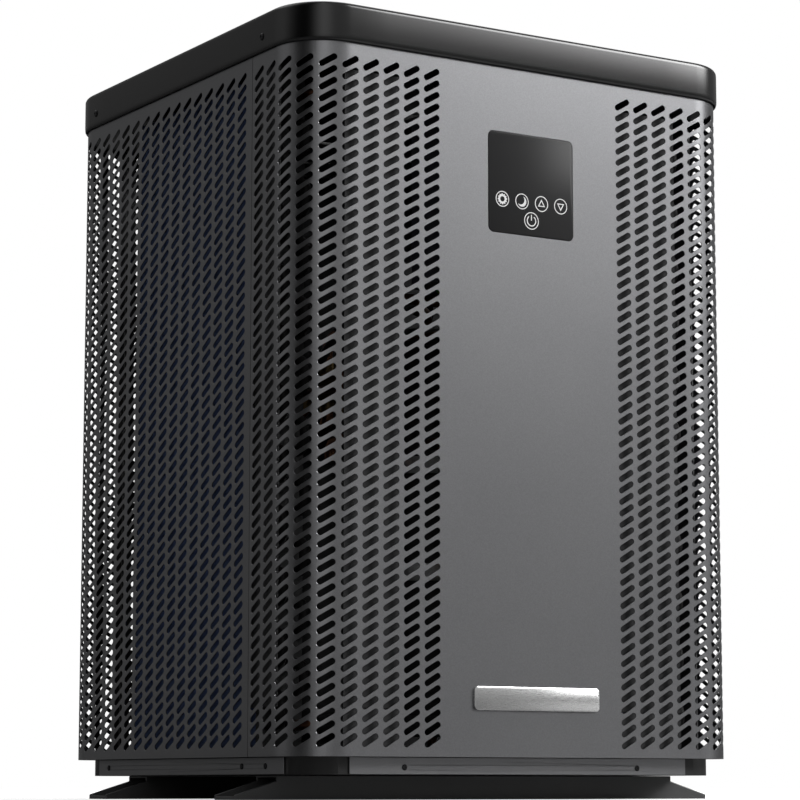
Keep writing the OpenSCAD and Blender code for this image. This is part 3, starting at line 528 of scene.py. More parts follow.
# front sheet
sh = Sheet(wrap)
cl = [-280.0 + 20 * i for i in range(10)]; cr_ = [100.0 + 20 * i for i in range(10)]
columns(sh, cl, 10.0); columns(sh, cr_, 10.0)
SEAM_F = FX + ARC + (-HD + 85 - 0.3 + FY)
L, Rt = right_nodes(-100, 10), left_nodes(100, 10)
sh.region(L[:1] + Rt + L[:0:-1], [rr2(DISP[2] + 0.9, DISP[2] + 0.9, 5.4, DISP[0], DISP[1])[::-1]])
ln = left_nodes(-280, 10); sh.strip([(-SEAM_F, Z0), (-SEAM_F, Z1)], ln)
rn = right_nodes(280, 10); sh.strip(rn, [(SEAM_F, Z0), (SEAM_F, Z1)])
sh.build("front_sheet", "front_panel", "front_panel", ["front_panel"])

# side sheets
PS = 20.14
S0, S1 = SEAM_F + 0.6, FX + 2 * ARC + 2 * FY + (FX - 168.0)
for g, nm in ((-1, "left"), (1, "right")):
    sh = Sheet(wrap)
    cols = [g * (310 + PS * j) for j in range(19)]
    columns(sh, cols, PS / 2)
    if g < 0:
        sh.strip(right_nodes(cols[0], PS / 2), [(-S0, Z0), (-S0, Z1)])
        sh.strip([(-S1, Z0), (-S1, Z1)], left_nodes(cols[-1], PS / 2))
    else:
        sh.strip([(S0, Z0), (S0, Z1)], left_nodes(cols[0], PS / 2))
        sh.strip(right_nodes(cols[-1], PS / 2), [(S1, Z0), (S1, Z1)])
    sh.build(nm + "_sheet", "dark_panel", "dark_panel", [nm + "_panel"])

# rear sheet with its pipe and cable holes
sh = Sheet(rear)
cols = [-150.0 + 20 * i for i in range(16)]
def in_block(c, k, b):
    return b[0] <= c <= b[1] and b[2] <= k <= b[3]
blocks = [((0 + 0, 6, 3, 11), (-85.0, 120.0, 33.4)), ((0, 6, 28, 36), (-85.0, 370.0, 33.4)), ((10, 13, 3, 7), (90.0, 100.0, 8.3))]
columns(sh, cols, 10.0, skip=lambda c, k: any(in_block(c, k, b) for b, _ in blocks))
for (c0, c1, k0, k1), (hx_, hz_, hr) in blocks:
    outer = []
    for c in range(c0, c1 + 1):
        ring = cell_ring(cols[c], ROWZ[k0], 10.0)
        outer += ring[12:] + [ring[0]]
    for k in range(k0 + 1, k1 + 1): outer.append((cols[c1] + 10, ROWZ[k]))
    for c in range(c1, c0 - 1, -1):
        outer += cell_ring(cols[c], ROWZ[k1], 10.0)[1:12]
    for k in range(k1 - 1, k0 - 1, -1): outer.append((cols[c0] - 10, ROWZ[k]))
    clean = [p for i, p in enumerate(outer) if p != outer[i - 1]]
    hole = [(hx_ + hr * math.cos(-2 * math.pi * i / 48), hz_ + hr * math.sin(-2 * math.pi * i / 48)) for i in range(48)]
    sh.region(clean, [hole])
sh.strip([(-167.7, Z0), (-167.7, Z1)], left_nodes(-150, 10))
sh.strip(right_nodes(150, 10), [(167.7, Z0), (167.7, Z1)])
sh.build("rear_sheet", "dark_panel", "dark_panel", ["rear_panel"])

# ------------------------------------------------------------------ cover
CW, CD, CR = W + 6, D + 6, R + 3
def ring(off, z): return [(x, y, z) for x, y in rr_loop(CW + 2 * off, CD + 2 * off, CR + off)]
prof = [(-2.2, 625.6), (-1.6, 624.6), (-0.9, 624.9), (-0.35, 626.0), (-0.08, 627.6), (0, 629.5), (0, 653.2)]
for i in range(1, 7):
    a = math.radians(90 * i / 6); prof.append((-4.8 * (1 - math.cos(a)), 653.2 + 4.8 * math.sin(a)))
prof += [(-14, 658.0), (-22, 658.0)]
loops = [ring(o, z) for o, z in prof]
base = rr_loop(CW, CD, CR)
def circ(r, z): return [(r * math.cos(math.atan2(y, x)), r * math.sin(math.atan2(y, x)), z) for x, y in base]
loops += [circ(190, 658.0), circ(188.5, 658.4), circ(186.5, 658.4), circ(177, 658.0)]
for r, z in ((175.2, 657.6), (174.2, 656.6), (174, 655), (174, 652), (175.6, 652), (175.8, 654.8), (177, 656.0)): loops.append(circ(r, z))
loops += [ring(-24, 656.0), ring(-8, 656.0), ring(-3.0, 655.0), ring(-2.0, 652.0), ring(-2.0, 628)]
v, f = loft(loops)
cover_o = add_mesh("cover_shell", v, f, "cover", angle=40, slot="cover", replaces=["top_cover"])
# the faces of the lower lip take the black rubber finish: painted shade for the dark shadow gap under the cover edge
cover_o.data.materials.append(MATS["black_rubber"])
for pl in cover_o.data.polygons:
    if pl.center.z < 0.6268: pl.material_index = 1

# ------------------------------------------------------------------ wire guard
def dome(r): return 661.2 + 7.5 * (1 - (r / 172.0) ** 2)
b = Builder()
for i, r in enumerate(list(np.linspace(36, 160, 12)) + [172]):
    z = dome(r) + (0 if r < 171 else 0.4)
    w = 1.7 if r < 171 else 2.4
    prof = [(r + w * math.cos(2 * math.pi * k / 12), z + w * math.sin(2 * math.pi * k / 12)) for k in range(12)]
    b.add(*lathe(prof, 128, closed=True))
for i in range(8):
    a = math.radians(45 * i + 22.5)
    path = [(r * math.cos(a), r * math.sin(a), dome(r) - 3.4) for r in np.linspace(26, 172, 18)]
    b.add(*sweep(path, 2.0, 12))
    tab = []
    for rr_, hw in ((170, 7), (176, 7.5), (182, 7.2), (185.6, 4.5), (186.8, 0.01)):
        tab.append((rr_, hw))
    up = [(r, h) for r, h in tab] + [(r, -h) for r, h in reversed(tab)]
    c, s = math.cos(a), math.sin(a)
    vv = [(r * c - h * s, r * s + h * c, z) for z in (658.5, 660.3) for r, h in up]
    n = len(up)
    ff = [tuple(range(n, 2 * n)), tuple(reversed(range(n)))] + [(k, (k + 1) % n, n + (k + 1) % n, n + k) for k in range(n)]
    b.add(vv, ff)
b.add(*lathe([(0, dome(0) + 1.6), (20, dome(20) + 1.6), (30, dome(30) + 1.2), (33, dome(33) + 0.2), (33.4, dome(33) - 1.2), (31, dome(31) - 2.2), (0, dome(0) - 2.2)], 64))
b.obj("wire_guard", "black_steel", slot="black_steel", replaces=["fan_guard"], angle=40)

# ------------------------------------------------------------------ fan
b = Builder()
b.add(*lathe([(0, 634.5), (8, 634.5), (30, 634.3), (38, 632.5), (42, 629), (44, 624), (44.2, 601), (43.6, 600), (41.6, 600), (41, 601.5), (41, 624), (38, 628.5), (30, 631), (14.5, 631), (14.2, 602), (13, 601), (6.2, 601), (6.1, 603), (6.1, 633), (0, 633)], 72))
for i in range(8):
    a = math.radians(45 * i)
    c, s = math.cos(a), math.sin(a)
    vv = [(r * c - h * s, r * s + h * c, z) for z in (606, 630.5) for r, h in ((14, -1), (41.4, -1), (41.4, 1), (14, 1))]
    b.add(vv, [(0, 3, 2, 1), (4, 5, 6, 7), (0, 1, 5, 4), (1, 2, 6, 5), (2, 3, 7, 6), (3, 0, 4, 7)])
NB, NU, NV = 4, 26, 22
for k in range(NB):
    grid = []
    for i in range(NU + 1):
        u = i / NU
        r = 42.5 + (159.6 - 42.5) * u
        row = []
        sweep_a = math.radians(-6 + 30 * u ** 1.3)
        half = math.radians(27 + 5 * math.sin(math.pi * min(1, u * 1.1)))
        if u > 0.86: half *= math.sqrt(max(0.0, 1 - ((u - 0.86) / 0.145) ** 2)) * 0.32 + 0.68
        if u < 0.12: half *= 0.86 + 0.14 * u / 0.12
        for j in range(NV + 1):
            t = j / NV
            ang = 2 * math.pi * k / NB + sweep_a + half * (2 * t - 1)
            H = 34 - 8 * u
            z = 617 + (t - 0.5) * H + 3.5 * math.sin(math.pi * t) * (1 - 0.4 * u)
            th = 1.5 * math.sin(math.pi * (0.06 + 0.88 * t)) ** 0.6 * (1.25 - 0.5 * u)
            row.append((r, ang, z, th))
        grid.append(row)
    vv, ff = [], []
    for sgn in (1, -1):
        for row in grid:
            for r, ang, z, th in row: vv.append((r * math.cos(ang), r * math.sin(ang), z + sgn * th))
    w = NV + 1; off = (NU + 1) * w
    for i in range(NU):
        for j in range(NV):
            a0 = i * w + j
            ff.append((a0, a0 + w, a0 + w + 1, a0 + 1)); ff.append((off + a0, off + a0 + 1, off + a0 + w + 1, off + a0 + w))
    edge = [i * w for i in range(NU + 1)] + [NU * w + j for j in range(1, w)] + [i * w + NV for i in range(NU - 1, -1, -1)] + [j for j in range(NV - 1, 0, -1)]
    for a0, a1 in zip(edge, edge[1:] + edge[:1]): ff.append((a1, a0, off + a0, off + a1))
    b.add(vv, ff)
b.obj("fan_blades", "black_plastic", body="fan_rotor", slot="black_plastic", replaces=["fan_impeller"], angle=50)

# ------------------------------------------------------------------ coils: thin fins with collars
def fins(side):
    b = Builder()
    x0, x1, z0, z1 = -214.0, -175.0, 44.0, 612.0
    n = 126
    xs = np.linspace(x0, x1, 11)
    for i in range(n):
        y = -129.5 + 225.0 * i / (n - 1)
        vv = []
        for z in (z0, z1):
            for q, x in enumerate(xs): vv.append((side * x * -1 * -1, y + (0.32 if q % 2 else -0.32), z))
        m = len(xs)
        ff = [(q, q + 1, m + q + 1, m + q) for q in range(m - 1)]
        vv2 = [(a, c + 0.14, e) for a, c, e in vv]
        k = len(vv)
        allf = ff + [tuple(k + t for t in reversed(f)) for f in ff]
        allf += [(q + 1, q, k + q, k + q + 1) for q in range(m - 1)] + [(m + q, m + q + 1, k + m + q + 1, k + m + q) for q in range(m - 1)]
        allf += [(0, m, k + m, k), (m - 1 + m, m - 1, k + m - 1, k + m - 1 + m)]
        b.add(vv + vv2, allf)
    return b
def mirrorx(b):
    b.v = [(-x, y, z) for x, y, z in b.v]; b.f = [tuple(reversed(f)) for f in b.f]; return b
fins(1).obj("left_fin_pack", "blue_fins", slot="blue_fins", replaces=["left_coil_fins"], angle=10)
mirrorx(fins(1)).obj("right_fin_pack", "blue_fins", slot="blue_fins", replaces=["right_coil_fins"], angle=10)

# ------------------------------------------------------------------ pipes with real bends
valve = (-60, 20, 372); comp = (-72, 32); accu = (-52, 128); hx = (85, 78)
top, fy, vl, tz0 = 61.3 + 25.4 * 21, -142.4, 358.5, 61.3
runs = [
 ([(-50, 32, 302.4), (-50, 32, 325), (-50, -60, 325), (-50, -60, 420), (-60, 20, 420), (-60, 20, 385.5)], 5, 16),
 ([(-60, 20, vl), (-60, 20, 335), (-52, 128, 335), (-52, 128, 275.2)], 6, 18),
 ([(-36, 20, vl), (-36, 20, 341), (10, 20, 341), (10, 20, 462), (85, 78, 462), (85, 78, 441)], 6, 16),
 ([(-84, 20, vl), (-84, 20, 345), (-150, 20, 345), (-150, -162, 345), (-150, -162, top), (-184, -162, top), (-184, fy, top)], 4.7, 13),
 ([(-145, -162, 425), (150, -162, 425), (150, -162, top), (184, -162, top), (184, fy, top)], 4.7, 13),
 ([(65, 38, 56.5), (65, 38, 46), (30, -70, 46), (30, -70, 285.8)], 4.7, 10),
 ([(5.8, -70, 314), (-10, -70, 314), (-10, -162, 314), (-10, -162, tz0), (-184, -162, tz0), (-184, fy, tz0)], 4.7, 13),
 ([(-5, -162, tz0), (184, -162, tz0), (184, fy, tz0)], 4.7, 13)]
b = Builder()
for pts, r, rad in runs: b.add(*sweep(fillet_path(pts, rad, 8), r, 16))
b.obj("copper_lines", "copper", slot="copper", replaces=["refrigerant_pipes"], angle=40)
# closed-cell foam sleeves on the two coil headers
b = Builder()
for pts in ([(-150, -162, 362), (-150, -162, top), (-178, -162, top)], [(150, -162, 440), (150, -162, top), (178, -162, top)],
            [(-10, -162, 300), (-10, -162, tz0), (-178, -162, tz0)], [(2, -162, tz0), (178, -162, tz0)]):
    b.add(*sweep(fillet_path(pts, 14, 8), 9.0, 18))
b.obj("pipe_sleeves", "black_rubber", slot="black_rubber", angle=40)
# titanium helix
b = Builder()
turns, n = 17, 28
path = [(hx[0] + 46 * math.cos(2 * math.pi * i / n), hx[1] + 46 * math.sin(2 * math.pi * i / n), 95 + 17.6 * i / n) for i in range(turns * n + 1)]
b.add(*sweep(path, 6.6, 10))
b.obj("titanium_helix", "titanium", slot="titanium", replaces=["titanium_coil"], angle=50)
# cables
def cable(name, pts, r, mat, rad=18, n=10):
    b = Builder(); b.add(*sweep(fillet_path(pts, rad, 6), r, n)); return b.obj(name, mat, angle=60)
cable("motor_cable", [(10, -150.5, 470), (10, -120, 470), (10, -40, 488), (0, -14, 505)], 3.2, "wire_black")
cable("compressor_cable", [(-30, -150.5, 452), (-30, -120, 440), (-108, -70, 400), (-110, -10, 350), (-100, 32, 324.5)], 4.0, "wire_black")
cable("earth_wire", [(-60, -150.5, 446), (-50, -172, 424), (-32, -184, 380), (-30, -186, 330), (-33, -184, 150), (-30, -180, 40.5)], 1.9, "wire_earth", 12)
cable("valve_cable", [(40, -150.5, 446), (34, -120, 420), (-30, -40, 410), (-36, -16, 398)], 2.2, "wire_brown")
cable("flow_switch_cable", [(80, -150.5, 452), (120, -100, 380), (164, 60, 300), (150, 160, 230), (90, 186, 201)], 2.2, "wire_blue")

# ------------------------------------------------------------------ touch glass, symbols, badge
def plate(cx, cz, w, h, r, y_back, y_front, bev, name, mat, slot, replaces, nc=8):
    loops = []
    for dy, off in ((y_back, 0), (y_front + bev, 0), (y_front + bev * 0.3, -bev * 0.3), (y_front, -bev)):
        loops.append([(x, dy, z) for x, z in rr2(w + 2 * off, h + 2 * off, max(0.3, r + off), cx, cz, nc)])
    n = len(loops[0]); verts = [p for l in loops for p in l]
    faces = []
    for i in range(len(loops) - 1):
        for k in range(n):
            j = (k + 1) % n; faces.append((i * n + k, i * n + j, (i + 1) * n + j, (i + 1) * n + k))
    faces.append(tuple(range((len(loops) - 1) * n, len(loops) * n)))
    faces.append(tuple(reversed(range(n))))
    return add_mesh(name, verts, faces, mat, slot=slot, replaces=replaces, angle=30)
GY = -220.6
plate(DISP[0], DISP[1], 88, 88, 5, -218.4, GY, 0.45, "display_glass", "touch_glass", "touch_glass", ["touch_glass"])
def flat(polys, name, y=GY - 0.04, y2=GY - 0.005, mat="screen_print"):
    b = Builder()
    for loop, holes in polys:
        flatp = list(loop) + [p for h in holes for p in h]
        tris = []
        for t in tessellate_polygon([[Vector((a, c, 0)) for a, c in loop]] + [[Vector((a, c, 0)) for a, c in h] for h in holes]):
            p = [flatp[i] for i in t]
            ar = (p[1][0] - p[0][0]) * (p[2][1] - p[0][1]) - (p[2][0] - p[0][0]) * (p[1][1] - p[0][1])
            if abs(ar) > 1e-9: tris.append(t if ar > 0 else t[::-1])
        n = len(flatp)
        vv = [(a, y, c) for a, c in flatp] + [(a, y2, c) for a, c in flatp]
        ff = list(tris) + [tuple(n + i for i in reversed(t)) for t in tris]
        o = 0
        for l in [loop] + list(holes):
            m = len(l); area = sum(l[i - 1][0] * l[i][1] - l[i][0] * l[i - 1][1] for i in range(m))
            for i in range(m):
                a0, a1 = o + i, o + (i + 1) % m
                hole = l is not loop
                ccw = area > 0
                q = (a1, a0, n + a0, n + a1) if (ccw != hole) else (a0, a1, n + a1, n + a0)
                ff.append(q)
            o += m
        b.add(vv, ff)
    return b.obj(name, mat)
def circ2(cx, cz, r, n=40, a0=0.0): return [(cx + r * math.cos(a0 + 2 * math.pi * i / n), cz + r * math.sin(a0 + 2 * math.pi * i / n)) for i in range(n)]
def annulus(cx, cz, r1, r0): return (circ2(cx, cz, r1), [circ2(cx, cz, r0)[::-1]])
def tri(cx, cz, up, r1, r0):
    o = [(cx + r1 * math.cos(math.radians(a)), cz + r1 * math.sin(math.radians(a))) for a in ((90, 210, 330) if up else (270, 30, 150))]
    i = [(cx + r0 * math.cos(math.radians(a)), cz + r0 * math.sin(math.radians(a))) for a in ((90, 210, 330) if up else (270, 30, 150))]
    return (o, [i[::-1]])
zs, zp = 508.7, 492.7
sun, moon, upx, dnx, pw = (-29.0 + 0.3), -8.4, 12.0, 32.2, 1.4
g = [annulus(sun, zs, 6.9, 6.1)]
teeth = []
for i in range(48):
    a = 2 * math.pi * i / 48; r = 4.9 if (i // 2) % 2 == 0 else 4.1
    teeth.append((sun + r * math.cos(a), zs + r * math.sin(a)))
g.append((teeth, [circ2(sun, zs, 2.3, 24)[::-1]]))
flat(g, "symbol_sun")
cres = [(moon + 4.6 * math.cos(math.radians(a)), zs + 4.6 * math.sin(math.radians(a))) for a in range(-150, 76, 9)]
cres += [(moon - 1.7 + 4.25 * math.cos(math.radians(a)), zs + 1.4 + 4.25 * math.sin(math.radians(a))) for a in range(52, -124, -9)]
flat([annulus(moon, zs, 6.9, 6.1), (cres, [])], "symbol_moon")
flat([annulus(upx, zs, 6.9, 6.1), tri(upx, zs - 0.3, True, 4.4, 2.6)], "symbol_up")
flat([annulus(dnx, zs, 6.9, 6.1), tri(dnx, zs + 0.3, False, 4.4, 2.6)], "symbol_down")
arc = [(pw + 4.9 * math.cos(math.radians(a)), zp + 4.9 * math.sin(math.radians(a))) for a in range(122, 419, 9)] + [(pw + 3.9 * math.cos(math.radians(a)), zp + 3.9 * math.sin(math.radians(a))) for a in range(418, 121, -9)]
bar = [(pw - 0.5, zp + 0.3), (pw + 0.5, zp + 0.3), (pw + 0.5, zp + 5.4), (pw - 0.5, zp + 5.4)]
flat([annulus(pw, zp, 7.6, 6.8), (arc, []), (bar, [])], "symbol_power")
plate(4, 83.5, 128, 20, 4, -220.1, -222.0, 0.7, "blank_badge", "badge", "badge", ["badge_plate"])

# ------------------------------------------------------------------ screws with cross recess
def cross_screw(centre, axis, r=2.6, h=0.9, body_len=0.0):
    """pan head along +axis; returns verts and faces"""
    ax = Vector(axis).normalized(); q = ax.to_track_quat("Z", "Y")
    n = 24; loops = []
    prof = [(r, 0), (r, h * 0.35), (r * 0.86, h * 0.8), (r * 0.62, h)]
    vv, ff = [], []
    for rr_, z in prof:
        for i in range(n):
            a = 2 * math.pi * i / n; vv.append(Vector((rr_ * math.cos(a), rr_ * math.sin(a), z)))
    for l in range(len(prof) - 1):
        for i in range(n):
            j = (i + 1) % n; ff.append((l * n + i, l * n + j, (l + 1) * n + j, (l + 1) * n + i))
    # cross: 24 points alternating between the arms, sunk
    arm, wd = r * 0.5, r * 0.13
    cp = []
    for k in range(4):
        a = math.pi / 2 * k
        for x, y in ((wd, -wd), (arm, -wd), (arm, wd)):
            cp.append((x * math.cos(a) - y * math.sin(a), x * math.sin(a) + y * math.cos(a)))
    base = (len(prof) - 1) * n
    outer = [vv[base + i] for i in range(n)]
    m = len(cp); c0 = len(vv)
    for x, y in cp: vv.append(Vector((x, y, h)))
    for x, y in cp: vv.append(Vector((x * 0.8, y * 0.8, h - r * 0.28)))
    flatp = [(p.x, p.y) for p in outer] + cp
    for t in tessellate_polygon([[Vector((p.x, p.y, 0)) for p in outer], [Vector((x, y, 0)) for x, y in cp][::-1]]):
        pass
    idx = [base + i for i in range(n)] + [c0 + i for i in range(m)][::-1]
    pp = [(p.x, p.y) for p in outer] + cp[::-1]
    for t in tessellate_polygon([[Vector((p.x, p.y, 0)) for p in outer], [Vector((x, y, 0)) for x, y in cp[::-1]]]):
        a, b_, c = (pp[i] for i in t)
        ar = (b_[0] - a[0]) * (c[1] - a[1]) - (c[0] - a[0]) * (b_[1] - a[1])
        if abs(ar) < 1e-9: continue
        f = tuple(idx[i] for i in t); ff.append(f if ar > 0 else f[::-1])
    for i in range(m):
        j = (i + 1) % m; ff.append((c0 + j, c0 + i, c0 + m + i, c0 + m + j))
    ff.append(tuple(c0 + m + i for i in range(m)))
    ff.append(tuple(reversed(range(n))))
    if body_len:
        o = len(vv)
        for z in (0.02, -body_len):
            for i in range(12):
                a = 2 * math.pi * i / 12; vv.append(Vector((r * 0.55 * math.cos(a), r * 0.55 * math.sin(a), z)))
        for i in range(12):
            j = (i + 1) % 12; ff.append((o + i, o + 12 + i, o + 12 + j, o + j))
        ff.append(tuple(o + i for i in range(12))); ff.append(tuple(reversed([o + 12 + i for i in range(12)])))
    return [tuple(q @ p + Vector(centre)) for p in vv], ff
b = Builder()
for gx in (-1, 1):
    for y in (-156, 163): b.add(*cross_screw((gx * 229.1, y, 637), (gx, 0, 0), 3.2, 1.1, 6))
for i in range(8):
    a = math.radians(22.5 + 45 * i); b.add(*cross_screw((179 * math.cos(a), 179 * math.sin(a), 660.35), (0, 0, 1), 3.4, 1.7, 5))
b.obj("cover_and_guard_screws", "dark_screw", slot="dark_screw", replaces=["cover_screws"], angle=40)
b = Builder()
for x in (-158, 0, 158):
    for z in (38.5, 621): b.add(*cross_screw((x, 220.05, z), (0, 1, 0), 2.7, 1.0))
for x in (-118.5, 118.5): b.add(*cross_screw((x, -206.02, 26.5), (0, -1, 0), 2.5, 0.8, 1.2))
for gx in (-1, 1):
    for y in (-140, -100, 150): b.add(*cross_screw((gx * 212.02, y, 27.5), (gx, 0, 0), 2.5, 0.8, 1.2))
b.obj("trim_and_rear_screws", "dark_screw", slot="dark_screw", replaces=[n for n in ("sheet_screws", "plinth_screws", "panel_screws") if n in NODE], angle=40)

# ------------------------------------------------------------------ union nuts with grip ribs
def nut(zc, name, node, body):
    b = Builder()
    n = 240
    y0, y1 = 221.5, 249.5
    def rad(i):
        a = (i % (n // 12)) / (n // 12)
        rib = max(0.0, math.cos((a - 0.5) * 2 * math.pi)) ** 1.5
        return 38.6 + 3.0 * rib
    prof = [(30.4, y1, 0), (36.5, y1, 0), (1.0, y1 - 1.2, 0.75), (1.0, y1 - 3.0, 1), (1.0, y0 + 3.0, 1), (1.0, y0 + 1.2, 0.75), (36.0, y0, 0), (33.1, y0, 0), (33.1, 244.5, 0), (30.4, 244.5, 0)]
    loops = []
    for r, y, kk in prof:
        l = []
        for i in range(n):
            a = 2 * math.pi * i / n
            rr_ = r if r > 2 else (38.0 + (rad(i) - 38.0) * kk)
            l.append((85 + rr_ * math.cos(a), y, zc + rr_ * math.sin(a)))
        loops.append(l)
    b.add(*loft(loops))
    return b.obj(name, "black_plastic", body=body, slot="black_plastic", replaces=[node], angle=40)
nut(120, "inlet_grip_nut", "inlet_union_nut", "inlet_nut")
nut(370, "outlet_grip_nut", "outlet_union_nut", "outlet_nut")

# ------------------------------------------------------------------ CAD nodes: materials and softened edges
for n, o in NODE.items():
    mat = MATS.get(slot_of[n], MATS["black_steel"])
    o.data.materials.clear()
    o.data.materials.append(mat)
MATS["rail_steel"] = coat_metal("rail_steel", (0.053, 0.053, 0.054), 0.36, 0.0, flake=0.1, grain=0.12, coat=0.0)
# baffle steel darkened to near black with a weak specular: painted shade for the dim interior behind the slots
MATS["baffle_shade_dark"] = coat_metal("baffle_shade_dark", (0.017, 0.017, 0.018), 0.6, 0.0, flake=0.1, grain=0.12, coat=0.0)
MATS["baffle_shade_dark"].node_tree.nodes["Principled BSDF"].inputs["Specular IOR Level"].default_value = 0.22
# gusset steel: the same darkened finish a little lighter, painted shade for their place low behind the slots
MATS["gusset_shade_dark"] = coat_metal("gusset_shade_dark", (0.028, 0.028, 0.029), 0.6, 0.0, flake=0.1, grain=0.12, coat=0.0)
MATS["gusset_shade_dark"].node_tree.nodes["Principled BSDF"].inputs["Specular IOR Level"].default_value = 0.22
# near-black finish for the copper coil tubes: painted shade
MATS["coil_tube_shade_black"] = coat_metal("coil_tube_shade_black", (0.015, 0.014, 0.014), 0.55, 0.0, flake=0.1, grain=0.3, coat=0.0)
MATS["coil_tube_shade_black"].node_tree.nodes["Principled BSDF"].inputs["Specular IOR Level"].default_value = 0.2
# dark grey finish for the galvanised tube sheets: painted shade
MATS["tube_sheet_shade_grey"] = coat_metal("tube_sheet_shade_grey", (0.060, 0.060, 0.061), 0.6, 0.0, flake=0.1, grain=0.3, coat=0.0)
MATS["tube_sheet_shade_grey"].node_tree.nodes["Principled BSDF"].inputs["Specular IOR Level"].default_value = 0.25
# the baffles take the darkened steel: painted shade
for n in ("front_baffle", "rear_baffle"):
    NODE[n].data.materials.clear(); NODE[n].data.materials.append(MATS["baffle_shade_dark"])
# the copper coil tubes, zinc motor bracket and motor end cap are given dark finishes: painted shade for the dark
# interior seen through the slots
for n, k in (("coil_tubes", "coil_tube_shade_black"), ("motor_bracket", "black_steel"), ("fan_motor_end_cap", "motor_paint")):
    NODE[n].data.materials.clear(); NODE[n].data.materials.append(MATS[k])
# tube sheets: the right-hand flange is trimmed at the front and runs down to the pan
src = NODE["coil_tube_sheets"]
me = src.data.copy()
for v in me.vertices:
    x, y, z = v.co.x / MM, v.co.y / MM - OFF_Y, v.co.z / MM
    if x > 219.5 and y < -160.5: v.co.y = (-160.5 + OFF_Y) * MM
    if x > 214.5 and abs(z - 75) < 0.7: v.co.z = 42.6 * MM
ts = bpy.data.objects.new("tube_sheets", me); bpy.context.scene.collection.objects.link(ts)
# the tube sheets take the dark grey finish: painted shade
me.materials.clear(); me.materials.append(MATS["tube_sheet_shade_grey"])
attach(ts, ROOT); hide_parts("coil_tube_sheets")
# folded gussets between the pan and the two front baffles
b = Builder()
for x0, x1 in ((-182.3, -126.0), (94.0, 160.5)):
    for lo, hi, fold in ((x0, x1, 1),):
        prof = [(lo, -214.5), (hi, -214.5), (hi, -213.3), (lo + 1.2, -213.3), (lo + 1.2, -205.0), (lo, -205.0)]
        n6 = len(prof)
        vv = [(a, c, 41.3) for a, c in prof] + [(a, c, 73.6) for a, c in prof]
        ff = [(q, (q + 1) % n6, n6 + (q + 1) % n6, n6 + q) for q in range(n6)] + [(3, 2, 1, 0), (5, 4, 3, 0), (n6, n6 + 1, n6 + 2, n6 + 3), (n6, n6 + 3, n6 + 4, n6 + 5)]
        b.add(vv, ff)
# the gussets take the darkened steel: painted shade
b.obj("pan_gussets", "gusset_shade_dark", angle=30)
# foam strip closing the gap between the rear baffle and the right coil
b = Builder()
prof = [(170.0, 198.4), (176.0, 197.6), (188.0, 197.6), (190.0, 199.0), (190.0, 202.8), (170.0, 202.8)]
n6 = len(prof)
b.add([(x, y, 44.0) for x, y in prof] + [(x, y, 612.0) for x, y in prof],
      [(q, (q + 1) % n6, n6 + (q + 1) % n6, n6 + q) for q in range(n6)] + [tuple(reversed(range(n6))), tuple(range(n6, 2 * n6))])
b.obj("edge_foam", "black_rubber", slot="black_rubber", angle=30)
# black lip under the front half of the air opening: a dark sheet that hides the parts seen through the top front slots,
# standing in for the shade there
arc_n = 60
prof = [(169.3, 590.0), (170.5, 590.0), (170.5, 616.9), (169.3, 616.9)]
vv = [(r * math.cos(math.radians(205 + 130 * i / arc_n)), r * math.sin(math.radians(205 + 130 * i / arc_n)), z) for i in range(arc_n + 1) for r, z in prof]
ff = [(i * 4 + k, (i + 1) * 4 + k, (i + 1) * 4 + (k + 1) % 4, i * 4 + (k + 1) % 4) for i in range(arc_n) for k in range(4)]
ff += [(0, 1, 2, 3), (arc_n * 4 + 3, arc_n * 4 + 2, arc_n * 4 + 1, arc_n * 4)]
add_mesh("shade_lip", vv, ff, "black_steel", angle=30, slot="black_steel")
for n in ("front_foot_rail", "rear_foot_rail"):
    NODE[n].data.materials.clear(); NODE[n].data.materials.append(MATS["rail_steel"])
for n in ("plinth_trims",):
    NODE[n].data.materials.clear(); NODE[n].data.materials.append(MATS["trim"])
for n, w in (("base_pan", 0.5), ("plinth_trims", 0.25), ("front_foot_rail", 0.7), ("rear_foot_rail", 0.7), ("front_baffle", 0.2), ("fan_deck", 0.4), ("motor_bracket", 0.4), ("electrical_box", 0.4),
             ("frame_bolts", 0.3), ("motor_bolts", 0.3), ("fan_motor_end_cap", 0.6), ("exchanger_straps", 0.3), ("water_stubs", 0.3), ("water_tailpieces", 0.5), ("cable_gland", 0.4), ("drain_spout", 0.4),
             ("flow_switch", 0.8), ("valve_coil", 1.0), ("compressor_pump_block", 0.4), ("display_housing", 0.5), ("fan_nut", 0.3)):
    bevel_cad(n, w)

# ------------------------------------------------------------------ stage, lights, camera
sc = bpy.context.scene
# studio surround: brightness by direction, azimuth 0 straight in front of the front sheet, positive to the viewer's right
w = bpy.data.worlds.new("studio"); sc.world = w; w.use_nodes = True
nt = w.node_tree
for n in list(nt.nodes): nt.nodes.remove(n)
def math_n(op, a, b=None):
    n = nt.nodes.new("ShaderNodeMath"); n.operation = op
    for i, v in enumerate((a, b)):
        if v is None: continue
        if isinstance(v, (int, float)): n.inputs[i].default_value = v
        else: nt.links.new(v, n.inputs[i])
    return n.outputs[0]
def smooth(v, a, b, lo=0.0, hi=1.0):
    n = nt.nodes.new("ShaderNodeMapRange"); n.interpolation_type = "SMOOTHSTEP"
    n.inputs["From Min"].default_value = a; n.inputs["From Max"].default_value = b
    n.inputs["To Min"].default_value = lo; n.inputs["To Max"].default_value = hi
    nt.links.new(v, n.inputs["Value"]); return n.outputs[0]
tc = nt.nodes.new("ShaderNodeTexCoord"); sp = nt.nodes.new("ShaderNodeSeparateXYZ"); nt.links.new(tc.outputs["Generated"], sp.inputs[0])
AZ = math_n("MULTIPLY", math_n("ARCTAN2", sp.outputs[0], math_n("MULTIPLY", sp.outputs[1], -1.0)), 180 / math.pi)
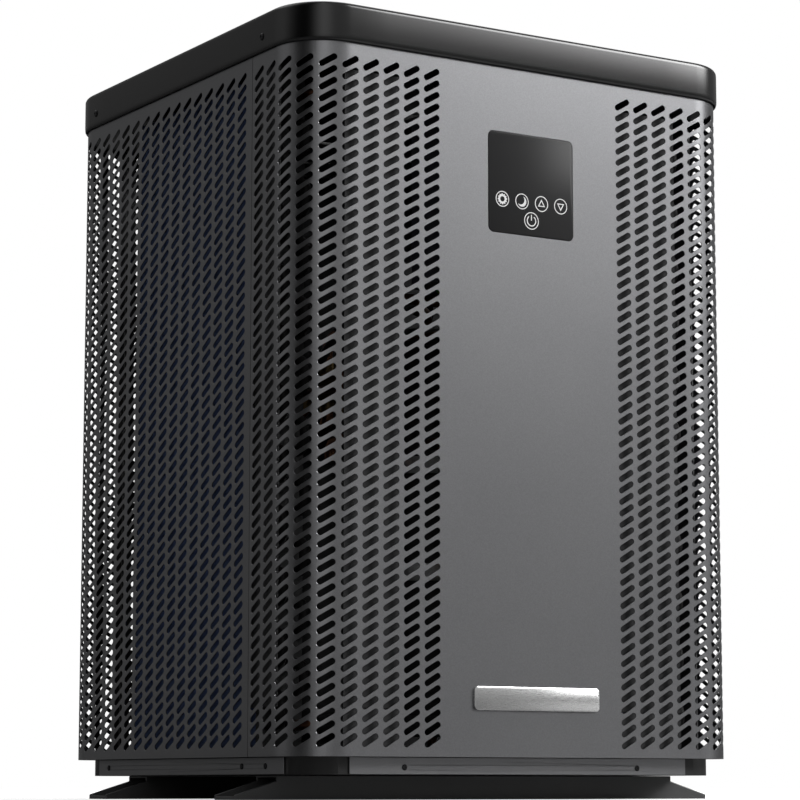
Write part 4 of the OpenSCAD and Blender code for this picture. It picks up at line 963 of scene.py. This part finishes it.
EL = math_n("MULTIPLY", math_n("ARCSINE", sp.outputs[2]), 180 / math.pi)
RING = [(-180, 0.15), (-149, 0.15), (-132, 0.29), (-114, 0.38), (-98, 0.20), (-83, 0.03), (-70, 0.0), (-57, 0.01), (-47, 0.25), (-40, 0.62), (-29, 1.02),
        (-18, 0.84), (-6, 0.44), (7, 0.38), (21, 0.36), (32, 0.22), (60, 0.22), (90, 0.18), (120, 0.18), (180, 0.13)]
rp = nt.nodes.new("ShaderNodeValToRGB"); rp.color_ramp.interpolation = "LINEAR"
els = rp.color_ramp.elements
els[0].position, els[1].position = 0.0, 1.0
els[0].color = (RING[0][1] / 2,) * 3 + (1,); els[1].color = (RING[-1][1] / 2,) * 3 + (1,)
for a_, v_ in RING[1:-1]:
    e = els.new((a_ + 180) / 360); e.color = (v_ / 2,) * 3 + (1,)
nt.links.new(math_n("ADD", math_n("DIVIDE", AZ, 360.0), 0.5), rp.inputs[0])
ring_v = math_n("MULTIPLY", rp.outputs[0], 2.0)
ring_v = math_n("MULTIPLY", ring_v, smooth(EL, -2, 16, 0.78, 1.14))
BOX_K, BOX_AZ, BOX_EL = 16.9, (30.5, 46.5), (14, 24)
box_v = math_n("MULTIPLY", math_n("MULTIPLY", smooth(AZ, *BOX_AZ), smooth(AZ, 60, 80, 1.0, 0.0)), math_n("MULTIPLY", smooth(EL, *BOX_EL), smooth(EL, 42, 56, 1.0, 0.0)))
rear_v = math_n("MULTIPLY", smooth(math_n("ABSOLUTE", AZ), 105, 135), math_n("MULTIPLY", smooth(EL, 34, 46), smooth(EL, 58, 72, 1.0, 0.0)))
light_v = math_n("ADD", ring_v, math_n("ADD", math_n("MULTIPLY", box_v, BOX_K), math_n("MULTIPLY", rear_v, 1.0)))
wo = nt.nodes.new("ShaderNodeOutputWorld"); mx = nt.nodes.new("ShaderNodeMixShader"); lp = nt.nodes.new("ShaderNodeLightPath")
b1 = nt.nodes.new("ShaderNodeBackground"); b2 = nt.nodes.new("ShaderNodeBackground")
b1.inputs[0].default_value = (1, 1, 1, 1); nt.links.new(light_v, b1.inputs[1])
b2.inputs[0].default_value = (1, 1, 1, 1); b2.inputs[1].default_value = 1.0
nt.links.new(lp.outputs["Is Camera Ray"], mx.inputs[0]); nt.links.new(b1.outputs[0], mx.inputs[1]); nt.links.new(b2.outputs[0], mx.inputs[2]); nt.links.new(mx.outputs[0], wo.inputs[0])

fm, fnt, fb = new_mat("studio_floor")
fnt.links.new(ramp(fnt, noise(fnt, coords(fnt), 3), 0.3, 0.7, (0.86, 0.86, 0.86), (0.90, 0.90, 0.90)), fb.inputs["Base Color"])
fb.inputs["Roughness"].default_value = 0.6
fb.inputs["Emission Color"].default_value = (1, 1, 1, 1)
flp = fnt.nodes.new("ShaderNodeLightPath"); fmr = fnt.nodes.new("ShaderNodeMapRange")
fmr.inputs["To Min"].default_value = 0.0; fmr.inputs["To Max"].default_value = 0.62
fmx = fnt.nodes.new("ShaderNodeMix"); fmx.data_type = "RGBA"; fmx.inputs[6].default_value = (0.13, 0.13, 0.13, 1)
fnt.links.new(fb.inputs["Base Color"].links[0].from_socket, fmx.inputs[7]); fnt.links.new(flp.outputs["Is Camera Ray"], fmx.inputs[0]); fnt.links.new(fmx.outputs[2], fb.inputs["Base Color"])
fnt.links.new(flp.outputs["Is Camera Ray"], fmr.inputs["Value"]); fnt.links.new(fmr.outputs[0], fb.inputs["Emission Strength"])
me = bpy.data.meshes.new("floor")
me.from_pydata([(-6, -6, -0.0005), (6, -6, -0.0005), (6, 6, -0.0005), (-6, 6, -0.0005)], [], [(0, 1, 2, 3)])
fl = bpy.data.objects.new("floor", me); sc.collection.objects.link(fl); me.materials.append(fm)

cam = bpy.data.cameras.new("camera"); co = bpy.data.objects.new("camera", cam); sc.collection.objects.link(co)
cam.sensor_width = 36.0; cam.lens = 2778.2 / 800 * 36.0
cam.clip_start, cam.clip_end = 0.05, 50
co.location = (-1.3388, -2.1485 + OFF_Y * MM, 0.0113)
az, el = math.radians(32.045), math.radians(7.912)
d = Vector((math.sin(az) * math.cos(el), math.cos(az) * math.cos(el), math.sin(el)))
co.rotation_mode = "QUATERNION"; co.rotation_quaternion = d.to_track_quat("-Z", "Y")
sc.camera = co
sc.view_settings.view_transform = "Standard"
sc.view_settings.look = "None"
